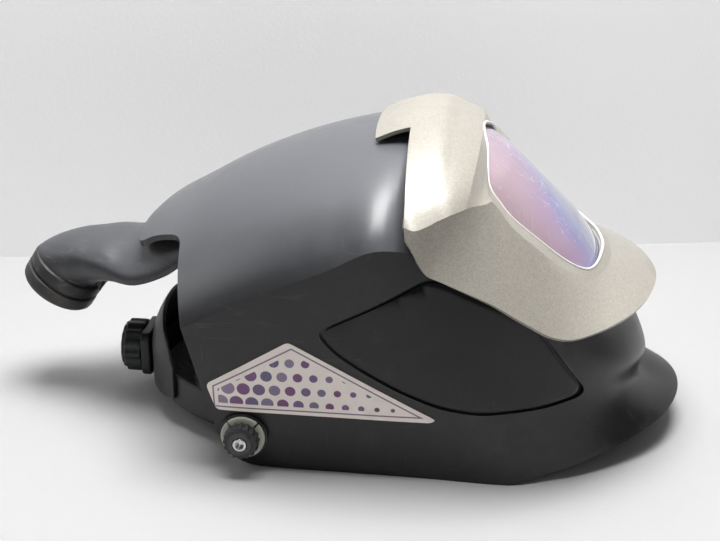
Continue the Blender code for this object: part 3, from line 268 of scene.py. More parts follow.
def prism(name: str, outline: Array, bottom: float, top: float, placement: Matrix | None = None) -> Piece:
    """Closed prism of a flat outline: the outline at both heights, side quads and two caps.

    Args:
        name: The object's name.
        outline: Corners, shaped (count, 2).
        bottom: Lower height along the prism's axis.
        top: Upper height.
        placement: Where the prism's own frame lies.

    Returns:
        The prism as an object at the origin.
    """
    count = len(outline)
    heights = np.repeat([bottom, top], count)[:, None]
    points = np.concatenate([np.concatenate([outline, outline]), heights], axis=1)
    here = np.arange(count)
    after = (here + 1) % count
    sides = np.stack([here, after, after + count, here + count], axis=1).tolist()
    mesh = bpy.data.meshes.new(name)
    mesh.from_pydata(points.tolist(), [], sides + [here[::-1].tolist(), (here + count).tolist()])
    if placement is not None:
        mesh.transform(placement)
    face_outwards(mesh)
    return new_object(name, mesh)


# Places a flat outline drawn in X and Z so that its prism runs along -Y, towards the wearer's right.
SIDE_VIEW = Matrix(((1, 0, 0, 0), (0, 0, -1, 0), (0, 1, 0, 0), (0, 0, 0, 1)))
# The same with its prism towards +Y.
OTHER_SIDE_VIEW = Matrix(((1, 0, 0, 0), (0, 0, 1, 0), (0, 1, 0, 0), (0, 0, 0, 1)))


def side_prism(name: str, outline: Array, near: float, far: float, side: Side) -> Piece:
    """Prism of a side-view outline between two distances from the middle plane."""
    return prism(name, outline, near, far, SIDE_VIEW if side is Side.RIGHT else OTHER_SIDE_VIEW)


def rounded(points: Array, radius: float, segments: int = 6) -> Array:
    """Closed outline with each corner replaced by the quadratic arc between its two cut points."""
    here = np.asarray(points, dtype=float)
    before = np.roll(here, 1, axis=0) - here
    after = np.roll(here, -1, axis=0) - here
    lengths = np.stack([np.linalg.norm(before, axis=1), np.linalg.norm(after, axis=1)])
    reach = np.minimum(radius, lengths.min(axis=0) * 0.45)[:, None]
    start = here + before / lengths[0][:, None] * reach
    end = here + after / lengths[1][:, None] * reach
    t = np.linspace(0, 1, segments + 1)[None, :, None]
    arcs = (1 - t) ** 2 * start[:, None] + 2 * t * (1 - t) * here[:, None] + t ** 2 * end[:, None]
    return arcs.reshape(-1, 2)


def inset(points: Array, distance: float) -> Array:
    """Closed outline moved inwards: each corner goes along the sum of its sides' normals."""
    here = np.asarray(points, dtype=float)
    first = here - np.roll(here, 1, axis=0)
    second = np.roll(here, -1, axis=0) - here
    area = np.sum(np.roll(here, 1, axis=0)[:, 0] * here[:, 1] - here[:, 0] * np.roll(here, 1, axis=0)[:, 1])
    turn = 1 if area > 0 else -1
    normals = [np.stack([-side[:, 1], side[:, 0]], axis=1) / np.linalg.norm(side, axis=1)[:, None] * turn
               for side in (first, second)]
    middle = normals[0] + normals[1]
    middle /= np.linalg.norm(middle, axis=1)[:, None]
    spread = np.maximum(0.4, np.sum(middle * normals[0], axis=1))[:, None]
    return here + middle * distance / spread


def circle(radius: float, middle: tuple[float, float] = (0.0, 0.0), count: int = 48) -> Array:
    """Closed outline of a circle, from cosine and sine of evenly spaced turns."""
    turns = (np.arange(count) + 0.5) * 2 * np.pi / count
    return np.stack([middle[0] + radius * np.cos(turns), middle[1] + radius * np.sin(turns)], axis=1)


def box_outline(half_x: float, half_y: float, radius: float,
                middle: tuple[float, float] = (0.0, 0.0)) -> Array:
    """Closed outline of a rounded rectangle."""
    corners = np.array([(-half_x, -half_y), (half_x, -half_y), (half_x, half_y), (-half_x, half_y)])
    return rounded(corners + middle, radius)


def revolve_grid(profile: Array, count: int, ribs: int = 0, depth: Array | float = 0.0,
                 sharpness: float = 1.0) -> Array:
    """Surface of revolution about Z whose radius dips between its ribs.

    At turn a and profile row (r, h) the point is ((r - depth * dip(a)) cos a, (r - ...) sin a, h), where
    dip is a raised cosine of ribs * a, squeezed by sharpness.

    Args:
        profile: Radius and height rows.
        count: Points round the axis.
        ribs: Number of ribs.
        depth: How deep the dips are, for each profile row.
        sharpness: Power that squares the ribs off.

    Returns:
        Points shaped (count, rows, 3).
    """
    turns = np.arange(count) * 2 * np.pi / count
    wave = (0.5 - 0.5 * signed_power(np.cos(ribs * turns), sharpness))[:, None]
    radius = np.maximum(profile[None, :, 0] - wave * np.broadcast_to(depth, len(profile)), 0.0)
    height = np.broadcast_to(profile[None, :, 1], radius.shape)
    return np.stack([radius * np.cos(turns)[:, None], radius * np.sin(turns)[:, None], height], axis=-1)


def placed(grid: Array, location: Vector, direction: Vector) -> Array:
    """Points turned so that Z points along a direction, and moved to a location."""
    turn = np.array(direction.to_track_quat("Z", "Y").to_matrix())
    return grid @ turn.T + np.array(location)


class Workshop:
    @staticmethod
    def apply(item: Piece) -> Piece:
        """Replace an object's mesh by its modified mesh, with no modifiers left."""
        graph = bpy.context.evaluated_depsgraph_get()
        mesh = bpy.data.meshes.new_from_object(item.evaluated_get(graph), depsgraph=graph)
        item.modifiers.clear()
        item.data = mesh
        return item

    @staticmethod
    def wall(item: Piece, thickness: float, offset: float = -1.0, even: bool = True) -> Piece:
        """Give an open sheet its wall.

        Args:
            item: The sheet.
            thickness: The wall's thickness.
            offset: -1 puts the wall inside the sheet, 1 outside.
            even: Keep the thickness at corners.

        Returns:
            The same object.
        """
        modifier = item.modifiers.new("Wall", "SOLIDIFY")
        modifier.thickness = thickness
        modifier.offset = offset
        modifier.use_even_offset = even
        modifier.use_quality_normals = True
        return Workshop.apply(item)

    @staticmethod
    def cut(item: Piece, cutter: Piece, operation: str = "DIFFERENCE") -> Piece:
        """Cut or join with another object, which is used up.

        Args:
            item: What is cut.
            cutter: The other object.
            operation: DIFFERENCE, UNION or INTERSECT.

        Returns:
            The cut object.
        """
        modifier = item.modifiers.new("Cut", "BOOLEAN")
        modifier.operation = operation
        modifier.solver = "EXACT"
        modifier.object = cutter
        Workshop.apply(item)
        bpy.data.objects.remove(cutter, do_unlink=True)
        return item

    @staticmethod
    def bevel(item: Piece, width: float, segments: int = 2, angle: float = 35.0) -> Piece:
        """Round the edges that are sharper than an angle.

        Args:
            item: The piece.
            width: The edge's width.
            segments: Faces across it.
            angle: Degrees between faces, past which an edge is rounded.

        Returns:
            The same object.
        """
        modifier = item.modifiers.new("Bevel", "BEVEL")
        modifier.width = width
        modifier.segments = segments
        modifier.limit_method = "ANGLE"
        modifier.angle_limit = math.radians(angle)
        modifier.use_clamp_overlap = True
        return Workshop.apply(item)

    @staticmethod
    def finish(item: Piece, body: Body, material: Material, slot: str, nodes: tuple[str, ...] = (),
               sharp: float = 32.0) -> Piece:
        """Shade and dress a piece, and attach it to its body.

        Args:
            item: The finished object.
            body: The CAD body that it rides on.
            material: Its finish.
            slot: The record's material slot; not used.
            nodes: The CAD nodes that it stands for.
            sharp: Angle in degrees past which an edge stays sharp.

        Returns:
            The same object.
        """
        item.data.transform(Matrix.Translation((SHIFT, 0, 0)))
        item.data.materials.clear()
        item.data.materials.append(material)
        item.data.shade_smooth()
        item.data.set_sharp_from_angle(angle=math.radians(sharp))
        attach(item, body.value)
        if nodes:
            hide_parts(*nodes)
        log.info("%s: %d faces, rides on %s", item.name, len(item.data.polygons), body.value)
        return item


# Shader graphs


class Graph:
    """Short words for adding nodes to a material's or a group's tree."""

    def __init__(self, tree: bpy.types.NodeTree) -> None:
        """Keep the tree that the nodes go into."""
        self.tree = tree

    def add(self, kind: str, **settings: object) -> bpy.types.Node:
        """Add a node and set its properties."""
        node = self.tree.nodes.new(kind)
        for name, value in settings.items():
            setattr(node, name, value)
        return node

    def feed(self, socket: Socket, value: object) -> None:
        """Link a socket, or set its plain value."""
        if isinstance(value, bpy.types.NodeSocket):
            self.tree.links.new(value, socket)
        elif isinstance(value, tuple) and len(value) == 3 and socket.type == "RGBA":
            socket.default_value = (*value, 1.0)
        else:
            socket.default_value = value

    def math(self, operation: str, first: object, second: object = 0.0, third: object = 0.0,
             clamp: bool = False) -> Socket:
        """Arithmetic on two values, or three for a multiply and add."""
        node = self.add("ShaderNodeMath", operation=operation, use_clamp=clamp)
        for socket, value in zip(node.inputs, (first, second, third)):
            self.feed(socket, value)
        return node.outputs[0]

    def blend(self, factor: object, first: object, second: object, how: str = "MIX") -> Socket:
        """Mix two colours."""
        node = self.add("ShaderNodeMix", data_type="RGBA", blend_type=how)
        self.feed(node.inputs[0], factor)
        self.feed(node.inputs[6], first)
        self.feed(node.inputs[7], second)
        return node.outputs[2]

    def noise(self, vector: Socket, scale: object, detail: float = 2.0, roughness: float = 0.5) -> Socket:
        """Fractal noise between 0 and 1."""
        node = self.add("ShaderNodeTexNoise")
        self.feed(node.inputs["Vector"], vector)
        self.feed(node.inputs["Scale"], scale)
        node.inputs["Detail"].default_value = detail
        node.inputs["Roughness"].default_value = roughness
        return node.outputs["Fac"]

    def stretch(self, vector: Socket, scale: tuple[float, float, float],
                turn: tuple[float, float, float] = (0.0, 0.0, 0.0),
                move: tuple[float, float, float] = (0.0, 0.0, 0.0)) -> Socket:
        """Move, turn and scale a position.

        Args:
            vector: The position.
            scale: Factors along its axes.
            turn: Radians about its axes.
            move: Shift along its axes.

        Returns:
            The new position.
        """
        node = self.add("ShaderNodeMapping")
        self.feed(node.inputs["Vector"], vector)
        node.inputs["Location"].default_value = move
        node.inputs["Rotation"].default_value = turn
        node.inputs["Scale"].default_value = scale
        return node.outputs["Vector"]

    def step(self, value: object, start: object, end: object) -> Socket:
        """Smooth step from 0 at start to 1 at end."""
        node = self.add("ShaderNodeMapRange", interpolation_type="SMOOTHSTEP")
        self.feed(node.inputs["Value"], value)
        self.feed(node.inputs["From Min"], start)
        self.feed(node.inputs["From Max"], end)
        return node.outputs["Result"]

    def ramp(self, value: Socket, stops: tuple[tuple[float, Colour], ...]) -> Socket:
        """Colour along a row of stops."""
        node = self.add("ShaderNodeValToRGB")
        self.feed(node.inputs["Fac"], value)
        while len(node.color_ramp.elements) < len(stops):
            node.color_ramp.elements.new(0.5)
        for element, (place, colour) in zip(node.color_ramp.elements, stops):
            element.position = place
            element.color = (*colour, 1.0)
        return node.outputs["Color"]

    def split(self, vector: Socket) -> tuple[Socket, Socket, Socket]:
        """The three parts of a position."""
        node = self.add("ShaderNodeSeparateXYZ")
        self.feed(node.inputs[0], vector)
        return node.outputs[0], node.outputs[1], node.outputs[2]


class Kind(Enum):
    """Kinds of group sockets."""

    VALUE = "NodeSocketFloat"
    COLOUR = "NodeSocketColor"
    VECTOR = "NodeSocketVector"


class ShaderGroup:
    """A node group that is built once and placed in many materials."""

    name = "group"
    inputs: tuple[tuple[str, Kind], ...] = ()
    outputs: tuple[tuple[str, Kind], ...] = ()

    @classmethod
    def tree(cls) -> bpy.types.NodeTree:
        """The group's tree, built on first use."""
        found = bpy.data.node_groups.get(cls.name)
        if found:
            return found
        tree = bpy.data.node_groups.new(cls.name, "ShaderNodeTree")
        for name, kind in cls.inputs:
            tree.interface.new_socket(name=name, in_out="INPUT", socket_type=kind.value)
        for name, kind in cls.outputs:
            tree.interface.new_socket(name=name, in_out="OUTPUT", socket_type=kind.value)
        graph = Graph(tree)
        made = cls.build(graph, graph.add("NodeGroupInput").outputs)
        end = graph.add("NodeGroupOutput")
        for name, value in made.items():
            graph.feed(end.inputs[name], value)
        return tree

    @classmethod
    def build(cls, graph: Graph, given: Sockets) -> dict[str, Socket]:
        """Make the group's nodes and return its outputs by name."""
        raise NotImplementedError

    @classmethod
    def place(cls, graph: Graph, **values: object) -> Sockets:
        """Put the group in a graph; words of an input's name are joined by underscores."""
        node = graph.add("ShaderNodeGroup", node_tree=cls.tree())
        for name, value in values.items():
            graph.feed(node.inputs[name.replace("_", " ")], value)
        return node.outputs


class FineScratches(ShaderGroup):
    """Thin scratches in two directions: narrow bands round the middle value of long stretched noises."""

    name = "fine_scratches"
    inputs = (("position", Kind.VECTOR), ("amount", Kind.VALUE))
    outputs = (("mask", Kind.VALUE),)

    @classmethod
    def build(cls, graph: Graph, given: Sockets) -> dict[str, Socket]:
        """Make the scratch mask."""
        position = given["position"]
        masks = []
        for scale, turn, width in (((9, 30, 210), (0.3, 0.5, 0.2), 0.010),
                                   ((190, 26, 12), (0.1, -0.4, 0.7), 0.008),
                                   ((14, 160, 40), (0.6, 0.1, -0.5), 0.007)):
            lines = graph.noise(graph.stretch(position, scale, turn), 1.0, 1.0)
            near = graph.math("ABSOLUTE", graph.math("SUBTRACT", lines, 0.5))
            moved = graph.stretch(position, (1, 1, 1), turn, (width * 90, 0, 3))
            patch = graph.step(graph.noise(moved, 26.0, 2.0), 0.50, 0.66)
            masks.append(graph.math("MULTIPLY", graph.step(near, width, width * 0.2), patch))
        both = graph.math("MAXIMUM", graph.math("MAXIMUM", masks[0], masks[1]), masks[2])
        return {"mask": graph.math("MULTIPLY", both, given["amount"], clamp=True)}


class HandledSurface(ShaderGroup):
    """A moulded or painted surface in use.

    Its colour drifts on a large noise, dust lies in soft patches, worn colour shows in scratches and along
    edges, and a fine grain with the scratches makes its height.
    """

    name = "handled_surface"
    inputs = (
        ("position", Kind.VECTOR), ("colour", Kind.COLOUR), ("worn colour", Kind.COLOUR),
        ("dust colour", Kind.COLOUR), ("roughness", Kind.VALUE), ("spread", Kind.VALUE),
        ("drift", Kind.VALUE), ("scratches", Kind.VALUE), ("dust", Kind.VALUE), ("grain scale", Kind.VALUE),
        ("edge", Kind.VALUE), ("edge wear", Kind.VALUE),
    )
    outputs = (("colour", Kind.COLOUR), ("roughness", Kind.VALUE), ("height", Kind.VALUE))

    @classmethod
    def build(cls, graph: Graph, given: Sockets) -> dict[str, Socket]:
        """Make the surface's colour, roughness and height."""
        position = given["position"]
        large = graph.noise(position, 13.0, 3.0)
        middle = graph.noise(position, 85.0, 4.0, 0.6)
        grain = graph.noise(position, given["grain scale"], 2.0)
        scratch = FineScratches.place(graph, position=position, amount=given["scratches"])["mask"]
        light = graph.math("MULTIPLY_ADD", graph.math("SUBTRACT", large, 0.5), given["drift"], 1.0)
        patch = graph.math("MULTIPLY", graph.step(middle, 0.42, 0.78), graph.step(large, 0.35, 0.7))
        dust = graph.math("MULTIPLY", patch, given["dust"], clamp=True)
        uneven = graph.math("MULTIPLY", graph.math("SUBTRACT", middle, 0.5), 0.12)
        rough_edge = graph.math("ADD", given["edge"], uneven)
        worn = graph.math("MULTIPLY", graph.step(rough_edge, 0.54, 0.62), given["edge wear"], clamp=True)
        brightness = graph.add("ShaderNodeVectorMath", operation="SCALE")
        graph.feed(brightness.inputs[0], given["colour"])
        graph.feed(brightness.inputs["Scale"], light)
        colour = graph.blend(dust, brightness.outputs[0], given["dust colour"])
        colour = graph.blend(graph.math("MAXIMUM", worn, scratch), colour, given["worn colour"])
        rough = graph.math("MULTIPLY_ADD", graph.math("SUBTRACT", middle, 0.5), given["spread"],
                           given["roughness"])
        rough = graph.math("ADD", rough, graph.math("MULTIPLY", dust, 0.25))
        rough = graph.math("ADD", rough, graph.math("MULTIPLY", scratch, 0.12), clamp=True)
        height = graph.math("SUBTRACT", grain, graph.math("MULTIPLY", scratch, 0.8))
        return {"colour": colour, "roughness": rough, "height": height}


class MetalFlake(ShaderGroup):
    """Sparkle of silver paint: each Voronoi cell of the fine flake takes its own lightness."""

    name = "metal_flake"
    inputs = (("position", Kind.VECTOR), ("colour", Kind.COLOUR), ("amount", Kind.VALUE))
    outputs = (("colour", Kind.COLOUR),)

    @classmethod
    def build(cls, graph: Graph, given: Sockets) -> dict[str, Socket]:
        """Make the flaked colour."""
        cells = graph.add("ShaderNodeTexVoronoi")
        graph.feed(cells.inputs["Vector"], given["position"])
        cells.inputs["Scale"].default_value = 1600.0
        own = graph.math("SUBTRACT", graph.split(cells.outputs["Color"])[0], 0.5)
        tone = graph.math("MULTIPLY", own, given["amount"])
        light = graph.add("ShaderNodeVectorMath", operation="SCALE")
        graph.feed(light.inputs[0], given["colour"])
        graph.feed(light.inputs["Scale"], graph.math("ADD", tone, 1.0))
        return {"colour": light.outputs[0]}


class FleeceNap(ShaderGroup):
    """Short tangled nap: clumps of Voronoi cells broken up by fine noise."""

    name = "fleece_nap"
    inputs = (("position", Kind.VECTOR), ("dark", Kind.COLOUR), ("light", Kind.COLOUR))
    outputs = (("colour", Kind.COLOUR), ("height", Kind.VALUE))

    @classmethod
    def build(cls, graph: Graph, given: Sockets) -> dict[str, Socket]:
        """Make the nap's colour and height."""
        cells = graph.add("ShaderNodeTexVoronoi")
        graph.feed(cells.inputs["Vector"], given["position"])
        cells.inputs["Scale"].default_value = 420.0
        laid = graph.stretch(given["position"], (1.0, 2.6, 1.4), (0.4, 0.2, 0.7))
        fibre = graph.noise(laid, 1300.0, 4.0, 0.7)
        height = graph.math("SUBTRACT", fibre, cells.outputs["Distance"])
        return {"colour": graph.blend(graph.step(height, -0.35, 0.55), given["dark"], given["light"]),
                "height": height}


class DottedLabel(ShaderGroup):
    """Printed label: rows of dots that shrink along the row, and a thin line along its edges.

    A dot is where the distance to its cell's middle is under a radius that falls with the distance from the
    label's rear end. The line follows the three long edges, each a straight line in side view.
    """

    name = "dotted_label"
    inputs = (("position", Kind.VECTOR), ("ground", Kind.COLOUR), ("line", Kind.COLOUR))
    outputs = (("colour", Kind.COLOUR), ("ink", Kind.VALUE))
    pitch = 0.0086
    foot = 0.0436
    largest = 0.0039
    smallest = 0.0008
    border = 0.0026
    # Rear-lower corner, apex and front corner of the label, as distances from the dome's rear corner.
    corners = ((0.0225, 0.0372), (0.0225, 0.0537), (0.0700, 0.0812), (0.1475, 0.0386))

    @classmethod
    def edge_distance(cls, graph: Graph, x: Socket, z: Socket, start: tuple[float, float],
                      end: tuple[float, float]) -> Socket:
        """Distance inside the straight line from start to end."""
        along = Vector(end) - Vector(start)
        normal = Vector((along.y, -along.x)).normalized()
        offset = normal.dot(Vector(start))
        total = graph.math("ADD", graph.math("MULTIPLY", x, normal.x), graph.math("MULTIPLY", z, normal.y))
        return graph.math("SUBTRACT", total, offset)

    @classmethod
    def build(cls, graph: Graph, given: Sockets) -> dict[str, Socket]:
        """Make the label's colour."""
        x, _, z = graph.split(given["position"])
        rear_low, rear_high, apex, front = cls.corners
        inside = cls.edge_distance(graph, x, z, rear_high, apex)
        inside = graph.math("MINIMUM", inside, cls.edge_distance(graph, x, z, apex, front))
        inside = graph.math("MINIMUM", inside, graph.math("SUBTRACT", z, rear_low[1]))
        inside = graph.math("MINIMUM", inside, graph.math("SUBTRACT", x, rear_low[0] + 0.001))
        above = graph.math("SUBTRACT", z, cls.foot - cls.pitch / 2)
        row = graph.math("FLOOR", graph.math("DIVIDE", above, cls.pitch))
        shift = graph.math("MULTIPLY", row, cls.pitch / 2)
        along = graph.math("DIVIDE", graph.math("ADD", x, shift), cls.pitch)
        cell = graph.math("FLOOR", along)
        within = graph.math("SUBTRACT", graph.math("SUBTRACT", along, cell), 0.5)
        across = graph.math("MULTIPLY", within, cls.pitch)
        middle = graph.math("ADD", graph.math("MULTIPLY", row, cls.pitch), cls.foot)
        rise = graph.math("SUBTRACT", z, middle)
        squares = graph.math("ADD", graph.math("POWER", across, 2.0), graph.math("POWER", rise, 2.0))
        distance = graph.math("SQRT", squares)
        far = graph.step(graph.math("MULTIPLY", cell, cls.pitch), 0.02, 0.15)
        radius = graph.math("SUBTRACT", cls.largest, graph.math("MULTIPLY", far, cls.largest - cls.smallest))
        dot = graph.step(graph.math("SUBTRACT", radius, distance), -0.0001, 0.0001)
        dot = graph.math("MULTIPLY", dot, graph.step(inside, 0.0050, 0.0052))
        count = graph.math("ADD", cell, graph.math("MULTIPLY", row, 2.3))
        tone = graph.math("FRACT", graph.math("MULTIPLY", count, 0.31))
        ink = graph.ramp(tone, ((0.0, (0.16, 0.035, 0.10)), (0.4, (0.22, 0.10, 0.27)),
                                (0.7, (0.10, 0.12, 0.20)), (1.0, (0.33, 0.24, 0.36))))
        near = graph.math("ABSOLUTE", graph.math("SUBTRACT", inside, cls.border))
        line = graph.step(near, 0.0005, 0.0003)
        colour = graph.blend(dot, given["ground"], ink)
        return {"colour": graph.blend(line, colour, given["line"]), "ink": graph.math("MAXIMUM", dot, line)}


# Finishes


class Surface:
    """A material under way: its graph, its shader and its position."""

    def __init__(self, name: str) -> None:
        """Make the material and find its shader and Object coordinates."""
        self.material = bpy.data.materials.new(name)
        self.material.use_nodes = True
        self.graph = Graph(self.material.node_tree)
        self.shader = self.material.node_tree.nodes["Principled BSDF"]
        self.position = self.graph.add("ShaderNodeTexCoord").outputs["Object"]

    def set(self, **values: object) -> None:
        """Feed the shader's sockets; words are joined by underscores."""
        for name, value in values.items():
            self.graph.feed(self.shader.inputs[name.replace("_", " ")], value)

    def bump(self, height: Socket, distance: float, strength: float = 1.0) -> None:
        """Turn a height into the shader's normal."""
        node = self.graph.add("ShaderNodeBump")
        node.inputs["Strength"].default_value = strength
        node.inputs["Distance"].default_value = distance
        self.graph.feed(node.inputs["Height"], height)
        self.set(Normal=node.outputs["Normal"])

    def edge(self) -> Socket:
        """How sharply the surface turns outwards."""
        return self.graph.add("ShaderNodeNewGeometry").outputs["Pointiness"]


@dataclass(frozen=True)
class Handled:
    """A moulded plastic, paint or metal that has been in use.

    Facing up above the side walls' lower part it can be painted paler: a painted sheen for light from above.
    """

    name: str
    colour: Colour
    worn_colour: Colour
    dust_colour: Colour = (0.45, 0.44, 0.41)
    roughness: float = 0.4
    spread: float = 0.15
    drift: float = 0.25
    scratches: float = 0.35
    dust: float = 0.10
    grain_scale: float = 900.0
    grain_depth: float = 0.00003
    edge_wear: float = 0.35
    metallic: float = 0.0
    coat: float = 0.0
    coat_roughness: float = 0.1
    specular: float = 0.5
    flake: float = 0.0
    # Painted sheen: how much upward faces are lightened, the pale colour, and the heights and facings over
    # which it fades in.
    top_light: float = 0.0
    top_light_colour: Colour = (0.15, 0.155, 0.17)
    top_light_above: tuple[float, float] = (0.060, 0.085)
    top_light_facing: tuple[float, float] = (0.42, 0.95)

    def material(self) -> Material:
        """The finish as a material, built on first use."""
        found = bpy.data.materials.get(self.name)
        if found:
            return found
        surface = Surface(self.name)
        made = HandledSurface.place(
            surface.graph, position=surface.position, colour=self.colour, worn_colour=self.worn_colour,
            dust_colour=self.dust_colour, roughness=self.roughness, spread=self.spread, drift=self.drift,
            scratches=self.scratches, dust=self.dust, grain_scale=self.grain_scale, edge=surface.edge(),
            edge_wear=self.edge_wear)
        colour = made["colour"]
        if self.flake:
            colour = MetalFlake.place(surface.graph, position=surface.position, colour=colour,
                                      amount=self.flake)["colour"]
        # Painted sheen: faces that point up and lie above the lower side walls are blended towards the pale
        # colour, in place of light from above.
        if self.top_light:
            up = surface.graph.split(surface.graph.add("ShaderNodeNewGeometry").outputs["Normal"])[2]
            height = surface.graph.step(surface.graph.split(surface.position)[2], *self.top_light_above)
            pale = surface.graph.math("MULTIPLY", surface.graph.step(up, *self.top_light_facing),
                                      surface.graph.math("MULTIPLY", height, self.top_light))
            colour = surface.graph.blend(pale, colour, self.top_light_colour)
        surface.set(Base_Color=colour, Roughness=made["roughness"], Metallic=self.metallic,
                    Coat_Weight=self.coat, Coat_Roughness=self.coat_roughness,
                    Specular_IOR_Level=self.specular)
        surface.bump(made["height"], self.grain_depth)
        return surface.material


@dataclass(frozen=True)
class TintedLens:
    """Glossy plate whose reflective coat runs from pink over violet to grey-blue across it.

    The colour follows the position across the plate, and a soft noise bends its bands.
    """

    name: str
    rear: float
    front: float

    def material(self) -> Material:
        """The finish as a material."""
        surface = Surface(self.name)
        graph = surface.graph
        x, y, _ = graph.split(surface.position)
        bend = graph.math("MULTIPLY", graph.noise(surface.position, 22.0, 1.0), 0.05)
        forward = graph.math("ADD", graph.math("MULTIPLY", x, 0.75), bend)
        across = graph.math("ADD", graph.math("MULTIPLY", y, 0.55), forward)
        colour = graph.ramp(graph.step(across, self.rear, self.front), (
            (0.0, (0.46, 0.33, 0.38)), (0.30, (0.37, 0.26, 0.40)), (0.52, (0.26, 0.23, 0.44)),
            (0.72, (0.24, 0.25, 0.43)), (1.0, (0.29, 0.30, 0.40))))
        scratch = FineScratches.place(graph, position=surface.position, amount=0.5)["mask"]
        surface.set(Base_Color=graph.blend(scratch, colour, (0.75, 0.72, 0.80)), Metallic=0.25,
                    Roughness=graph.math("ADD", graph.math("MULTIPLY", scratch, 0.3), 0.10),
                    Coat_Weight=1.0, Coat_Roughness=0.03, IOR=1.58)
        surface.bump(graph.noise(surface.position, 60.0, 2.0), 0.00004)
        return surface.material


@dataclass(frozen=True)
class PrintedFilm:
    """Label film with its printed dots, slightly rubbed."""

    name: str
    origin_x: float

    def material(self) -> Material:
        """The finish as a material."""
        surface = Surface(self.name)
        graph = surface.graph
        place = graph.stretch(surface.position, (1.0, 1.0, 1.0), move=(-self.origin_x, 0.0, 0.0))
        printed = DottedLabel.place(graph, position=place, ground=(0.95, 0.86, 0.80), line=(0.20, 0.14, 0.24))
        worn = HandledSurface.place(
            graph, position=surface.position, colour=printed["colour"], worn_colour=(0.72, 0.70, 0.64),
            dust_colour=(0.36, 0.34, 0.30), roughness=0.38, spread=0.2, drift=0.18, scratches=0.35, dust=0.22,
            grain_scale=1500.0, edge=surface.edge(), edge_wear=0.0)
        surface.set(Base_Color=worn["colour"], Roughness=worn["roughness"])
        surface.bump(graph.math("ADD", worn["height"], graph.math("MULTIPLY", printed["ink"], 0.8)), 0.00003)
        return surface.material


@dataclass(frozen=True)
class Fleece:
    """Black fleece with a soft sheen."""

    name: str
    dark: Colour = (0.006, 0.006, 0.007)
    light: Colour = (0.030, 0.030, 0.034)

    def material(self) -> Material:
        """The finish as a material, built on first use."""
        found = bpy.data.materials.get(self.name)
        if found:
            return found
        surface = Surface(self.name)
        nap = FleeceNap.place(surface.graph, position=surface.position, dark=self.dark, light=self.light)
        surface.set(Base_Color=nap["colour"], Roughness=0.95, Sheen_Weight=0.6, Sheen_Roughness=0.5)
        surface.bump(nap["height"], 0.0006)
        return surface.material


@dataclass(frozen=True)
class Paper:
    """Painted wall or floor of the studio."""

    name: str
    colour: Colour
    one_sided: bool = False

    def material(self) -> Material:
        """The finish as a material; a one-sided sheet lets views from behind it through."""
        surface = Surface(self.name)
        tone = surface.graph.noise(surface.position, 3.0, 3.0)
        darker = tuple(part * 0.94 for part in self.colour)
        surface.set(Base_Color=surface.graph.blend(tone, darker, self.colour), Roughness=0.75)
        surface.bump(surface.graph.noise(surface.position, 400.0, 3.0), 0.0001)
        if self.one_sided:
            tree = surface.material.node_tree
            ends = next(node for node in tree.nodes if node.type == "OUTPUT_MATERIAL").inputs["Surface"]
            solid, mix = ends.links[0].from_socket, tree.nodes.new("ShaderNodeMixShader")
            tree.links.new(tree.nodes.new("ShaderNodeNewGeometry").outputs["Backfacing"], mix.inputs[0])
            tree.links.new(solid, mix.inputs[1])
            tree.links.new(tree.nodes.new("ShaderNodeBsdfTransparent").outputs[0], mix.inputs[2])
            tree.links.new(mix.outputs[0], ends)
        return surface.material


# Painted sheen: the dome's upward faces are made paler, for the light from above.
DOME = Handled("dome_satin", (0.006, 0.006, 0.0065), (0.06, 0.063, 0.072), roughness=0.33, spread=0.12,
               drift=0.5, scratches=0.32, dust=0.03, grain_scale=700.0, edge_wear=0.2, top_light=0.68)
SILVER = Handled("silver_paint_worn", (0.36, 0.335, 0.29), (0.25, 0.23, 0.205), (0.34, 0.31, 0.27), 0.40,
                 spread=0.16, drift=0.14, scratches=0.20, dust=0.16, grain_scale=1100.0, edge_wear=0.30,
                 metallic=0.15, coat=0.25, coat_roughness=0.25, flake=0.25)
# Painted highlight: a paler copy of the silver for the opening's rim, which faces the light.
SILVER_EDGE_HIGHLIGHT = Handled("silver_edge_painted_highlight", (0.72, 0.70, 0.66), (0.45, 0.42, 0.38), roughness=0.42,
                      scratches=0.2, dust=0.2, edge_wear=0.2)
GLOSS = Handled("window_gloss_black", (0.004, 0.004, 0.0045), (0.05, 0.05, 0.055), roughness=0.07,
                spread=0.05, scratches=0.2, dust=0.02, grain_depth=0.000004, edge_wear=0.2, specular=0.38)
# Painted sheen: the duct's upward faces are made paler too.
DUCT = Handled("duct_satin_grey", (0.035, 0.036, 0.040), (0.14, 0.14, 0.15), roughness=0.42, drift=0.5,
               scratches=0.45, dust=0.08, edge_wear=0.45, top_light=0.25)
CONNECTOR = Handled("connector_worn", (0.022, 0.022, 0.022), (0.14, 0.13, 0.12), (0.12, 0.11, 0.10), 0.5,
                    spread=0.3, drift=1.1, scratches=0.7, dust=0.75, grain_scale=420.0, grain_depth=0.00012,
                    edge_wear=0.6)
BOSS = Handled("disc_pale", (0.47, 0.50, 0.40), (0.60, 0.60, 0.54), (0.25, 0.25, 0.20), 0.5, drift=0.2,
               scratches=0.25, dust=0.3, edge_wear=0.3)
STEEL = Handled("stud_bright", (0.62, 0.62, 0.63), (0.85, 0.85, 0.86), roughness=0.20, spread=0.2,
                scratches=0.5, dust=0.05, edge_wear=0.3, metallic=1.0)
KNOB = Handled("knob_charcoal", (0.024, 0.025, 0.026), (0.11, 0.11, 0.115), roughness=0.5, scratches=0.4,
               dust=0.2, edge_wear=0.55, grain_depth=0.00006)
BAND = Handled("band_green_black", (0.007, 0.010, 0.008), (0.05, 0.06, 0.055), roughness=0.45, scratches=0.35,
               dust=0.15, edge_wear=0.45, grain_depth=0.00005)
